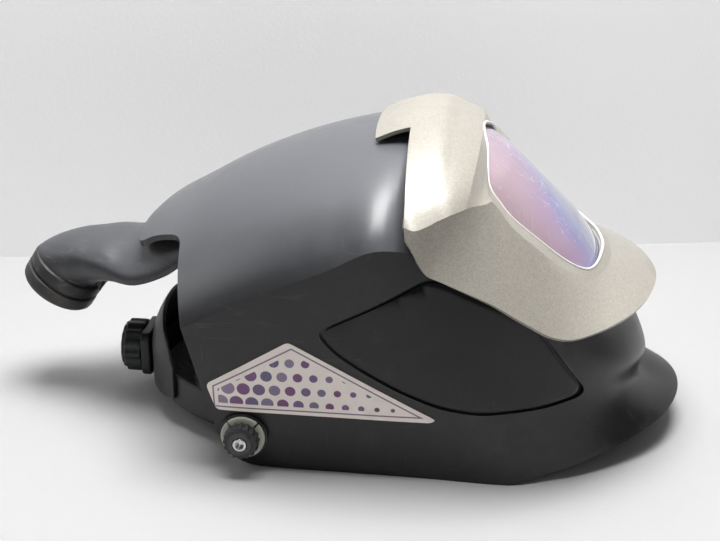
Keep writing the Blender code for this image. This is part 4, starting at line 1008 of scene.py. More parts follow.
FILTER = Handled("filter_dark_glass", (0.05, 0.035, 0.10), (0.15, 0.13, 0.2), roughness=0.10, spread=0.05,
                 scratches=0.1, dust=0.05, edge_wear=0.1, coat=1.0, coat_roughness=0.03)
FLEECE = Fleece("pad_fleece_black")
LINT = Fleece("pad_lint_pale", (0.10, 0.10, 0.10), (0.34, 0.33, 0.31))
SEAM = Handled("window_seam_satin", (0.008, 0.008, 0.009), (0.05, 0.05, 0.055), roughness=0.35, scratches=0.2,
               dust=0.05, edge_wear=0.2, specular=0.35)


# Sub-assemblies


@dataclass(frozen=True)
class ShellForm:
    """The shell's sizes and its outer surface, from the dome's rear corner in X."""

    length: float = 0.286
    height: float = 0.176
    half_width: float = 0.108
    wall: float = 0.003
    chin_bulge: float = 0.004
    crease: float = math.radians(24)
    shoulder: float = math.radians(80)

    def points(self, x: Array, z: Array, w: Array | float = 0.0) -> Array:
        """Points from shares of the shell's sizes, on the right side."""
        x, z, w = np.broadcast_arrays(x, z, w)
        return np.stack([x * self.length, -w * self.half_width, z * self.height], axis=-1)

    def outline(self, rows: tuple[tuple[float, float], ...]) -> Array:
        """Side-view outline in metres."""
        return np.array(rows) * (self.length, self.height)

    @staticmethod
    def arch(chine: Array, top: Array, count: int, crease: Array | float) -> Array:
        """Part of an ellipse from the chine over to the middle line.

        At angle a, from the crease to a right angle, the point has gone (sin a - sin crease) / (1 - sin
        crease) of the way from chine to top, and its Y is the chine's times cos a / cos crease.

        Args:
            chine: Starting points, shaped (sections, 3).
            top: End points on the middle line.
            count: Steps along the arch.
            crease: Starting angle, for each section or for all.

        Returns:
            Points shaped (count + 1, sections, 3).
        """
        crease = np.broadcast_to(crease, len(chine))
        angle = crease + (np.pi / 2 - crease) * np.linspace(0, 1, count + 1)[:, None]
        rise = (np.sin(angle) - np.sin(crease)) / (1 - np.sin(crease))
        points = chine + (top - chine) * rise[..., None]
        points[..., 1] = top[:, 1] + (chine[:, 1] - top[:, 1]) * np.cos(angle) / np.cos(crease)
        return points

    def grid(self, steps: int, wall_count: int, arch_count: int) -> Array:
        """Outer surface, right half.

        Each section is a Catmull-Rom curve through rim, waist, belly and chine, then the arch over to the
        middle line; the sections past the lens's top all end at one pole.

        Args:
            steps: Sections made for each row of the table.
            wall_count: Points for each stretch of the side wall.
            arch_count: Points along the arch.

        Returns:
            Points shaped (sections, points, 3).
        """
        table = np.array(SHELL_SECTIONS)
        mirrored = table[-2] * np.where(np.isin(np.arange(11), (2, 5, 8)), -1, 1)
        rows = catmull(table, steps, mirrored)
        rim = self.points(rows[:, 0], np.maximum(rows[:, 1], 0.0), rows[:, 2])
        waist, chine = self.points(*rows[:, 3:6].T), self.points(*rows[:, 6:9].T)
        top = self.points(rows[:, 9], rows[:, 10])
        top[LENS_SECTION * steps:] = self.points(*table[-1, 9:11])
        belly = (waist + chine) / 2
        belly[:, 0] += self.chin_bulge * share(rows[:, 3], 0.70, 0.86)
        wall = catmull(np.stack([rim, waist, belly, chine]), wall_count)
        crease = self.crease + (self.shoulder - self.crease) * share(rows[:, 6], 0.41, 0.49)
        return np.concatenate([wall[:-1], self.arch(chine, top, arch_count, crease)]).transpose(1, 0, 2)

    def skin(self, name: str, outward: float, steps: int = 6) -> Piece:
        """The whole outer surface as a sheet, moved along its normals."""
        mesh = mesh_from_grid(name, self.grid(steps, 5, 14), mirrored=True)
        points = np.empty(len(mesh.vertices) * 3)
        normals = np.empty(len(mesh.vertices) * 3)
        mesh.vertices.foreach_get("co", points)
        mesh.vertex_normals.foreach_get("vector", normals)
        mesh.vertices.foreach_set("co", points + normals * outward)
        return new_object(name, mesh)


@dataclass(frozen=True)
class LensForm:
    """The lens cylinder and the opening's outline on it."""

    pitch: float = math.radians(44)
    radius: float = 0.145
    origin: tuple[float, float, float] = (0.2138, 0.0, 0.1241)
    height: float = 0.099
    half_width: float = 0.0583
    top_share: float = 0.71

    @property
    def down(self) -> Vector:
        """Direction down the lens."""
        return Vector((math.cos(self.pitch), 0, -math.sin(self.pitch)))

    @property
    def outward(self) -> Vector:
        """Direction out of the lens."""
        return Vector((math.sin(self.pitch), 0, math.cos(self.pitch)))

    def placement(self) -> Matrix:
        """The lens plane: X down the lens, Y to the wearer's left, Z out of it."""
        rotation = Matrix((self.down, self.outward.cross(self.down), self.outward)).transposed().to_4x4()
        return Matrix.Translation(self.origin) @ rotation

    def on(self, down: Array, half: Array, sink: float = 0.0) -> Array:
        """Points on the cylinder, sunk by a depth, from shares of the opening's height and half-width.

        Args:
            down: Shares of the opening's height.
            half: Shares of its half-width.
            sink: Depth under the cylinder.

        Returns:
            The points.
        """
        across = half * self.half_width
        fall = self.radius - np.sqrt(self.radius ** 2 - across ** 2) + sink
        along = (down - self.top_share) * self.height
        points = np.array(self.origin) + along[..., None] * np.array(self.down)
        points = points - fall[..., None] * np.array(self.outward)
        points[..., 1] -= across
        return points

    def curve(self, steps: int = 6) -> Array:
        """Right half of the opening's outline as smooth rows of down and half shares."""
        rows = np.array(OPENING_ROWS)
        before = rows[1] * (1, -1)
        smooth = catmull(np.concatenate([before[None], rows]), steps, rows[-2] * (1, -1))[steps:]
        return np.maximum(smooth, 0.0)

    def along(self, place: Array, sink: float) -> Array:
        """Points on the opening's edge, place 0 at its top and 1 at its bottom, on the right side."""
        rows = self.curve()
        walked = np.r_[0, np.cumsum(np.hypot(*(np.diff(rows, axis=0) * (self.height, self.half_width)).T))]
        down = np.interp(place, walked / walked[-1], rows[:, 0])
        half = np.interp(place, walked / walked[-1], rows[:, 1])
        return self.on(down, half, sink)

    def outline(self, margin: float = 0.0) -> Array:
        """Closed outline of the opening in the lens plane, grown by a margin."""
        right = (self.curve(3) - (self.top_share, 0)) * (self.height, -self.half_width)
        left = right[-2:0:-1] * (1, -1)
        return inset(np.concatenate([right, left]), -margin)


SHELL = ShellForm()
LENS = LensForm()


@dataclass
class HelmetShell:
    """Hollow shell with its filter collar, lens aperture, window pockets and pivot pads."""

    pocket_depth: float = 0.0021
    pocket_corner: float = 0.008
    window_ledge: float = 0.006
    plate_margin: float = 0.0005
    collar_gap: float = 0.0015
    collar_wall: float = 0.0025
    filter_drop: float = 0.020
    filter_depth: float = 0.009
    filter_half_height: float = 0.035
    filter_half_width: float = 0.0455
    filter_middle: float = -0.018
    filter_corner: float = 0.006
    filter_ledge: float = 0.004
    rear_lean: float = math.radians(14.5)
    rear_foot: float = 0.032
    foot_radius: float = 0.020
    tail_length: float = 0.034
    tail_half_width: float = 0.048
    tail_flare: float = 0.010
    tail_fillet: float = 0.010

    def collar(self) -> Piece:
        """Tube round the lens opening, kept to what lies under the shell's wall."""
        seat = -self.filter_drop - self.filter_depth - GAP
        outline = LENS.outline(self.plate_margin + self.collar_gap + self.collar_wall)
        tube = prism("collar", outline, seat - self.collar_wall, 0.0, LENS.placement())
        above = new_object("above", mesh_from_grid("above", SHELL.grid(4, 3, 8)[24:, 8:], mirrored=True))
        above.data.transform(Matrix.Translation(-LENS.outward * SHELL.wall / 3))
        return Workshop.cut(tube, Workshop.wall(above, 0.045, 1.0, even=False))

    def rear_trim(self) -> Piece:
        """Cutter behind the rear edge, which leaves the tail in the middle."""
        half, long = self.tail_half_width, self.tail_length
        tail = np.array([
            (0.0, -CUT_REACH), (0.0, -half - self.tail_flare), (long * 0.45, -half), (long, -half * 0.80),
            (long * 1.08, 0.0), (long, half * 0.80), (long * 0.45, half), (0.0, half + self.tail_flare),
            (0.0, CUT_REACH)])
        edge = rounded(tail, self.tail_fillet)[7:-7]
        corners = [[0.0, CUT_REACH], [CUT_REACH, CUT_REACH], [CUT_REACH, -CUT_REACH]]
        outline = np.concatenate([[[0.0, -CUT_REACH]], edge, corners])
        back = Vector((-math.cos(self.rear_lean), 0, -math.sin(self.rear_lean)))
        across = Vector((0, 1, 0))
        rotation = Matrix((back, across, back.cross(across))).transposed().to_4x4()
        return prism("rear_trim", outline, -CUT_REACH, CUT_REACH,
                     Matrix.Translation((self.rear_foot, 0, 0)) @ rotation)

    def foot_trim(self) -> Piece:
        """Cutter that rounds the lower rear corners, seen from the side."""
        radius = self.foot_radius
        foot = np.array((self.rear_foot, 0.0))
        start = foot + np.array((-math.sin(self.rear_lean), math.cos(self.rear_lean))) * radius
        t = np.linspace(0, 1, 12)[:, None]
        arc = (1 - t) ** 2 * start + 2 * t * (1 - t) * foot + t ** 2 * (foot + (radius, 0.0))
        rear = foot[0] - 3 * radius
        rest = [(foot[0] + radius, -radius), (rear, -radius), (rear, start[1])]
        return prism("foot_trim", np.concatenate([arc, rest]), -CUT_REACH, CUT_REACH, SIDE_VIEW)

    def pocket(self, side: Side) -> Piece:
        """Cutter of one window's pocket: a thick skin inside the pocket's outline."""
        outline = rounded(SHELL.outline(POCKET_OUTLINE), self.pocket_corner)
        skin = Workshop.wall(SHELL.skin("pocket", -self.pocket_depth), self.pocket_depth + 0.004, 1.0)
        cutter = side_prism("pocket_outline", outline, CUT_START, CUT_REACH, side)
        return Workshop.cut(skin, cutter, "INTERSECT")

    def build(self) -> Piece:
        """The shell, cut and joined in the order of the CAD model."""
        shell = Workshop.wall(SHELL.skin("shell_body", 0.0), SHELL.wall)
        Workshop.cut(shell, self.collar(), "UNION")
        seat = -self.filter_drop - self.filter_depth - GAP
        aperture = LENS.outline(self.plate_margin + self.collar_gap)
        Workshop.cut(shell, prism("aperture", aperture, seat, 0.05, LENS.placement()))
        view = box_outline(self.filter_half_height - self.filter_ledge,
                           self.filter_half_width - self.filter_ledge, self.filter_corner,
                           (self.filter_middle, 0.0))
        Workshop.cut(shell, prism("filter_view", view, seat - 0.02, seat + 0.01, LENS.placement()))
        through = rounded(inset(SHELL.outline(POCKET_OUTLINE), self.window_ledge), self.pocket_corner)
        for side in Side:
            Workshop.cut(shell, self.pocket(side))
            Workshop.cut(shell, side_prism("through", through, CUT_START, CUT_REACH, side))
        for side in Side:
            Workshop.cut(shell, PIVOT.pad(side), "UNION")
            Workshop.cut(shell, PIVOT.hole(side))
        Workshop.cut(shell, self.rear_trim())
        Workshop.cut(shell, self.foot_trim())
        return Workshop.finish(shell, Body.HELMET, DOME.material(), "dome_plastic", ("shell",), 28.0)

    def filter(self) -> Piece:
        """The darkening filter as a block with softened edges."""
        outline = box_outline(self.filter_half_height, self.filter_half_width, self.filter_corner,
                              (self.filter_middle, 0.0))
        block = prism("filter_block", outline, -self.filter_drop - self.filter_depth, -self.filter_drop,
                      LENS.placement())
        Workshop.bevel(block, 0.0008)
        return Workshop.finish(block, Body.HELMET, FILTER.material(), "filter_dark", ("filter_cassette",))


@dataclass
class SideWindows:
    """Glossy side windows in their pockets, and the printed labels under them."""

    pocket_depth: float = 0.0021
    border: float = 0.0020
    thickness: float = 0.0013
    corner: float = 0.008
    label_thickness: float = 0.0004
    label_corner: float = 0.003
    seam_foot: tuple[float, float] = (0.2290, 0.0563)
    seam_head: tuple[float, float] = (0.1985, 0.0954)
    seam_width: float = 0.0009

    def patch(self, name: str, outward: float, thickness: float, outline: Array, side: Side) -> Piece:
        """Thin solid on the shell's skin inside a side-view outline.

        Args:
            name: The solid's name.
            outward: Distance of its outer face from the skin.
            thickness: Its thickness.
            outline: Its outline in side view.
            side: Its side.

        Returns:
            The solid.
        """
        skin = Workshop.wall(SHELL.skin(name, outward), thickness, 1.0)
        cutter = side_prism(name + "_outline", outline, CUT_START, CUT_REACH, side)
        return Workshop.cut(skin, cutter, "INTERSECT")

    def window(self, side: Side) -> Piece:
        """One window plate in its pocket; the seam across its front is a separate piece."""
        outline = rounded(inset(SHELL.outline(POCKET_OUTLINE), self.border), self.corner)
        plate = self.patch("window_" + side.word, -self.pocket_depth + GAP, self.thickness, outline, side)
        Workshop.bevel(plate, 0.0004, 2, 50)
        return Workshop.finish(plate, Body.HELMET, GLOSS.material(), "window_gloss",
                               ("side_window_" + side.word,), 30)

    def seam(self, side: Side) -> Piece:
        """Raised thin ridge that follows the skin along the seam."""
        foot, head = np.array(self.seam_foot), np.array(self.seam_head)
        along = (head - foot) / np.linalg.norm(head - foot)
        across = np.array((-along[1], along[0])) * self.seam_width / 2
        outline = np.array([foot - across, head - across, head + across, foot + across])
        ridge = self.patch("window_seam_" + side.word, -self.pocket_depth + GAP + self.thickness, 0.00025,
                           outline, side)
        return Workshop.finish(ridge, Body.HELMET, SEAM.material(), "window_gloss", (), 30)

    def label(self, side: Side, material: Material) -> Piece:
        """One printed label."""
        outline = rounded(SHELL.outline(LABEL_OUTLINE), self.label_corner)
        film = self.patch("label_" + side.word, GAP, self.label_thickness, outline, side)
        return Workshop.finish(film, Body.HELMET, material, "label_cream", ("side_label_" + side.word,), 40)

    def build(self) -> list[Piece]:
        """Both windows and both labels."""
        printed = PrintedFilm("label_print", SHIFT).material()
        return [piece for side in Side for piece in (self.window(side), self.seam(side),
                                                     self.label(side, printed))]


@dataclass
class FrontCover:
    """Silver cover with the lens opening, its moulding edge, the rear tongue and the lip."""

    thickness: float = 0.0022
    tongue_half_width: float = 0.034
    rear_foot: tuple[float, float] = (0.455, 0.824)
    rear_lean: float = math.radians(6)
    rounded_up_to: float = 0.20
    edge_radius: float = 0.00085

    def grid(self, steps: int, facet_count: int, arch_count: int) -> Array:
        """Outer surface, right half, from the lower edge over the crease to the opening.

        The lower facet is straight from edge to crease. The upper one blends from an arch at the rear to
        straight lines beside the lens.

        Args:
            steps: Sections made for each row of the table.
            facet_count: Points up the lower facet.
            arch_count: Points up the upper facet.

        Returns:
            Points shaped (sections, points, 3).
        """
        table = np.array(COVER_SECTIONS)
        edge, crease = SHELL.points(*table[:, 0:3].T), SHELL.points(*table[:, 3:6].T)
        top = SHELL.points(table[:, 6], table[:, 7])
        opened = table[:, 8] >= 0
        above = -self.thickness - 3 * GAP
        top[opened] = LENS.along(table[opened, 8], above)
        bow = share(table[:, 8], self.rounded_up_to, 0.0)[:, None]
        place = np.maximum(table[:, 8], 0.0)[:, None]
        rows = np.concatenate([edge, crease, top, bow, place], axis=1)
        mirrored = rows[-2] * np.where(np.isin(np.arange(11), (1, 4, 7)), -1, 1)
        mirrored[10] = 2 * rows[-1, 10] - rows[-2, 10]
        rows = catmull(rows, steps, mirrored)
        edge, crease, top = rows[:, 0:3], rows[:, 3:6], rows[:, 6:9].copy()
        first = int(np.argmax(opened)) * steps
        top[first:] = LENS.along(np.clip(rows[first:, 10], 0, 1), above)
        top[:, 1] = np.minimum(top[:, 1], 0.0)
        t = np.linspace(0, 1, facet_count + 1)[:, None, None]
        facet = edge + (crease - edge) * t
        bent = SHELL.arch(crease, top, arch_count, SHELL.crease)
        flat = crease + (top - crease) * np.linspace(0, 1, arch_count + 1)[:, None, None]
        upper = flat + (bent - flat) * np.clip(rows[:, 9], 0, 1)[None, :, None]
        return np.concatenate([facet[:-1], upper]).transpose(1, 0, 2)

    def trim_rear(self, mesh: bpy.types.Mesh) -> None:
        """Cut the sheet along its rear plane, except for the tongue in the middle."""
        foot = Vector(SHELL.points(*self.rear_foot).tolist())
        back = Vector((-math.cos(self.rear_lean), 0, -math.sin(self.rear_lean)))
        data = bmesh.new()
        data.from_mesh(mesh)
        bmesh.ops.bisect_plane(data, geom=data.verts[:] + data.edges[:] + data.faces[:], dist=1e-6,
                               plane_co=foot, plane_no=back)
        behind = [face for face in data.faces if (face.calc_center_median() - foot).dot(back) > 0]
        edges = {edge for face in behind for edge in face.edges}
        verts = {vert for face in behind for vert in face.verts}
        bmesh.ops.bisect_plane(data, geom=behind + list(edges) + list(verts), dist=1e-6,
                               plane_co=Vector((0, -self.tongue_half_width, 0)), plane_no=Vector((0, -1, 0)))
        outside = [face for face in data.faces
                   if (face.calc_center_median() - foot).dot(back) > 0
                   and face.calc_center_median().y < -self.tongue_half_width]
        bmesh.ops.delete(data, geom=outside, context="FACES")
        data.to_mesh(mesh)
        data.free()

    def cover(self) -> Piece:
        """The cover itself."""
        mesh = mesh_from_grid("cover_body", self.grid(5, 6, 12))
        self.trim_rear(mesh)
        cover = new_object("cover_body", mesh)
        mirror = cover.modifiers.new("Mirror", "MIRROR")
        mirror.use_axis = (False, True, False)
        mirror.use_clip = True
        mirror.merge_threshold = 0.00001
        Workshop.wall(cover, self.thickness)
        Workshop.bevel(cover, 0.0006, 2, 50)
        return Workshop.finish(cover, Body.HELMET, SILVER.material(), "silver_paint", ("front_cover",), 14)

    def opening_edge(self) -> Piece:
        """Moulded edge round the opening, painted pale as a highlight: a small circle carried along the
        opening's outline.
        """
        rows = LENS.curve(8)
        rows = np.concatenate([rows, rows[-2:0:-1] * (1, -1)])
        path = LENS.on(rows[:, 0], rows[:, 1], -self.thickness - 3 * GAP + 0.0002)
        along = np.roll(path, -1, axis=0) - np.roll(path, 1, axis=0)
        along /= np.linalg.norm(along, axis=1)[:, None]
        outward = np.array(LENS.outward)
        sideways = np.cross(along, outward)
        turns = np.arange(12) * 2 * np.pi / 12
        ring = sideways[:, None] * np.cos(turns)[:, None] + outward * np.sin(turns)[:, None]
        mesh = mesh_from_grid("cover_opening_edge", path[:, None] + ring * self.edge_radius, loop_rows=True,
                              loop_columns=True)
        face_outwards(mesh)
        return Workshop.finish(new_object("cover_opening_edge", mesh), Body.HELMET, SILVER_EDGE_HIGHLIGHT.material(),
                               "silver_paint", (), 60)

    def build(self) -> list[Piece]:
        """The cover and its opening's edge."""
        return [self.cover(), self.opening_edge()]


@dataclass
class LensPlate:
    """Curved protection plate behind the cover's opening."""

    thickness: float = 0.0015
    margin: float = 0.0005
    bulge: float = 0.0045

    def build(self) -> Piece:
        """The plate: rows across from edge to edge at each height of the outline, swelling to the middle."""
        rows = LENS.curve(5)
        down = 0.5 + (rows[:, 0] - 0.5) * (1 + 2 * self.margin / LENS.height)
        half = rows[:, 1] + self.margin / LENS.half_width * share(rows[:, 1], 0.0, 0.2)
        across = np.linspace(1, -1, 49)
        swell = (1 - across[:, None] ** 2) * np.minimum(1.5 * np.sin(np.pi * np.clip(down[::-1], 0, 1)), 1.0)
        grid = LENS.on(np.broadcast_to(down[::-1], (49, len(down))), across[:, None] * half[::-1],
                       -self.bulge * swell)
        sheet = new_object("lens_clear_plate", mesh_from_grid("lens_clear_plate", grid))
        plate = Workshop.wall(sheet, self.thickness)
        material = TintedLens("lens_reflective", 0.070, 0.140).material()
        return Workshop.finish(plate, Body.HELMET, material, "lens_clear", ("lens_plate",), 40)


@dataclass
class AirDuct:
    """Flat hollow duct and the ring that takes the breathing hose."""

    wall: float = 0.0020
    squareness: float = 0.85
    radius: float = 0.0232
    length: float = 0.0185
    bore: float = 0.0175
    groove: float = 0.0014

    def grid(self, steps: int, count: int) -> Array:
        """Rings round the duct.

        At angle a the ring's point is the section's middle, plus the half-width times a squared-off cos a
        across, plus the half-height times a squared-off sin a along the section's normal, less a droop
        that grows with the square of the distance across.
        """
        rows = catmull(np.array(DUCT_SECTIONS), steps)
        centre = SHELL.points(rows[:, 0], rows[:, 1])[:, None]
        half_width = (rows[:, 2] * SHELL.half_width)[:, None]
        half_height = (rows[:, 3] * SHELL.height)[:, None]
        heading = np.radians(rows[:, 5])
        normal = np.stack([-np.sin(heading), 0 * heading, np.cos(heading)], axis=-1)[:, None]
        flat = 1 - (1 - self.squareness) * np.clip((half_width - half_height) / half_height, 0, 1)
        angle = np.arange(count) * 2 * np.pi / count
        across = signed_power(np.cos(angle), flat)
        rise = half_height * signed_power(np.sin(angle), flat)
        rise = rise - rows[:, 4][:, None] * SHELL.height * across ** 2
        points = centre + normal * rise[..., None]
        points[..., 1] += half_width * across
        return points

    @property
    def end(self) -> Vector:
        """Middle of the duct's end."""
        return Vector(SHELL.points(*DUCT_SECTIONS[-1][:2]).tolist())

    @property
    def direction(self) -> Vector:
        """Direction that the hose leaves in."""
        heading = math.radians(DUCT_SECTIONS[-1][5])
        return Vector((-math.cos(heading), 0, -math.sin(heading)))

    def build(self) -> list[Piece]:
        """The duct and its connector."""
        mesh = mesh_from_grid("duct_body", self.grid(6, 64), loop_columns=True)
        keep_before(mesh, self.end - self.direction * 2 * GAP, self.direction)
        duct = Workshop.wall(new_object("duct_body", mesh), self.wall)
        Workshop.bevel(duct, 0.0005, 2, 50)
        Workshop.finish(duct, Body.HELMET, DUCT.material(), "duct_grey", ("air_duct",), 35)
        outer, seam, long = self.radius, self.radius - self.groove, self.length
        profile = np.array([
            (outer * 0.94, 0.0), (outer * 0.985, long * 0.05), (outer, long * 0.13), (outer, long * 0.38),
            (outer - 0.0004, long * 0.41), (seam, long * 0.43), (seam, long * 0.51),
            (outer - 0.0004, long * 0.53), (outer, long * 0.56), (outer, long * 0.84),
            (outer * 0.985, long * 0.93), (outer * 0.94, long),
            (self.bore + 0.0006, long), (self.bore, long - 0.0006), (self.bore, 0.0)])
        grid = placed(revolve_grid(profile, 96), self.end - self.direction * GAP, self.direction)
        mesh = mesh_from_grid("connector_ring", grid, loop_rows=True, loop_columns=True)
        face_outwards(mesh)
        ring = Workshop.finish(new_object("connector_ring", mesh), Body.HELMET, CONNECTOR.material(),
                               "duct_grey", ("hose_connector",), 35)
        return [duct, ring]


@dataclass
class HeadbandPivots:
    """Slotted discs, toothed tension knobs and studs on the headband's axis."""

    x: float = 0.0417
    z: float = 0.0223
    pin: float = 0.0040
    pad_radius: float = 0.0135
    pad_face: float = 0.1035
    pad_depth: float = 0.0070
    disc_radius: float = 0.0123
    disc_thickness: float = 0.0018
    slot_width: float = 0.0013
    knob_radius: float = 0.0100
    knob_thickness: float = 0.0066
    hub: float = 0.0068
    hub_rise: float = 0.0016
    teeth: int = 16
    tooth: float = 0.0009
    socket: float = 0.0024
    socket_depth: float = 0.0030
    flange: float = 0.0062
    flange_thickness: float = 0.0012
    arm_face: float = 0.0928

    @property
    def disc_face(self) -> float:
        """Distance of the disc's outer face from the middle plane."""
        return self.pad_face + GAP + self.disc_thickness

    def turned(self, name: str, profile: Array, side: Side, count: int = 64, ribs: int = 0,
               depth: Array | float = 0.0, closed: bool = True) -> Piece:
        """Solid turned about the pivot's axis; profile heights run outwards from the middle plane.

        Args:
            name: The solid's name.
            profile: Radii and heights along it.
            side: Its side.
            count: Points round it.
            ribs: Teeth round it.
            depth: Depth of the teeth at each row.
            closed: Join the last profile point to the first.

        Returns:
            The solid.
        """
        direction = Vector((0, side.value, 0))
        grid = placed(revolve_grid(profile, count, ribs, depth, 0.6), Vector((self.x, 0, self.z)), direction)
        mesh = mesh_from_grid(name, grid, loop_rows=True, loop_columns=closed)
        face_outwards(mesh)
        return new_object(name, mesh)

    def pad(self, side: Side) -> Piece:
        """Round pad that joins the shell's wall to the pivot."""
        outline = circle(self.pad_radius, (self.x, self.z), 64)
        return side_prism("pad", outline, self.pad_face - self.pad_depth, self.pad_face, side)

    def hole(self, side: Side) -> Piece:
        """Cutter of the stud's hole in the shell."""
        return side_prism("hole", circle(self.pin + GAP, (self.x, self.z), 32), CUT_START, CUT_REACH, side)

    def disc(self, side: Side) -> Piece:
        """Pale disc with two radial slots."""
        low, high, hole, edge = self.pad_face + GAP, self.disc_face, self.pin + GAP, 0.0004
        profile = np.array([(hole, low), (self.disc_radius - edge, low), (self.disc_radius, low + edge),
                            (self.disc_radius, high - edge), (self.disc_radius - edge, high), (hole, high)])
        disc = self.turned("disc_" + side.word, profile, side, 96)
        for turn in (math.radians(45), math.radians(135)):
            radial = np.array((math.cos(turn), math.sin(turn)))
            across = np.array((-radial[1], radial[0])) * self.slot_width / 2
            near, far = radial * self.disc_radius * 0.72, radial * self.disc_radius * 1.1
            outline = np.array([near - across, far - across, far + across, near + across]) + (self.x, self.z)
            Workshop.cut(disc, side_prism("slot", outline, CUT_START, CUT_REACH, side))
        return Workshop.finish(disc, Body.HELMET, BOSS.material(), "boss_pale",
                               ("pivot_disc_" + side.word,), 30)

    def knob(self, side: Side) -> Piece:
        """Toothed knob with a raised hub and a bore."""
        low, edge, bore = self.disc_face + GAP, 0.0006, self.pin + GAP
        high = self.disc_face + GAP + self.knob_thickness
        profile = np.array([
            (bore, low), (self.knob_radius - edge, low), (self.knob_radius, low + edge),
            (self.knob_radius, high - edge * 1.6), (self.knob_radius - edge * 0.5, high - edge * 0.4),
            (self.knob_radius - edge * 1.6, high), (self.hub + 0.0006, high), (self.hub, high + 0.0004),
            (self.hub, high + self.hub_rise - 0.0005), (self.hub - 0.0005, high + self.hub_rise),
            (bore, high + self.hub_rise)])
        depth = np.array([0, 1, 1, 1, 1, 0.8, 0, 0, 0, 0, 0]) * self.tooth
        knob = self.turned("knob_" + side.word, profile, side, self.teeth * 14, self.teeth, depth)
        body = Body.KNOB_RIGHT if side is Side.RIGHT else Body.KNOB_LEFT
        return Workshop.finish(knob, body, KNOB.material(), "knob_grey", ("pivot_knob_" + side.word,), 30)

    def stud(self, side: Side) -> Piece:
        """Bright stud with a socket in its head and a flange inside the shell."""
        foot = self.arm_face + GAP
        end = self.disc_face + GAP + self.knob_thickness + self.hub_rise + 0.0006
        profile = np.array([
            (0.0, foot), (self.flange - 0.0003, foot), (self.flange, foot + 0.0003),
            (self.flange, foot + self.flange_thickness), (self.pin, foot + self.flange_thickness),
            (self.pin, end - 0.0008), (self.pin - 0.0003, end - 0.0002), (self.pin - 0.0008, end),
            (self.socket + 0.0002, end), (self.socket, end - 0.0002), (self.socket, end - self.socket_depth),
            (0.0, end - self.socket_depth)])
        stud = self.turned("stud_" + side.word, profile, side, 64, closed=False)
        return Workshop.finish(stud, Body.HEADBAND, STEEL.material(), "stud_steel",
                               ("pivot_stud_" + side.word,), 30)

    def build(self) -> list[Piece]:
        """Both sides' discs, knobs and studs."""
        return [piece for side in Side for piece in (self.disc(side), self.knob(side), self.stud(side))]


PIVOT = HeadbandPivots()
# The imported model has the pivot's axis here, which gives the place of the dome's rear corner.
SHIFT = frame["record"]["behaviour"]["joints"][0]["pos_m"][0] - PIVOT.x


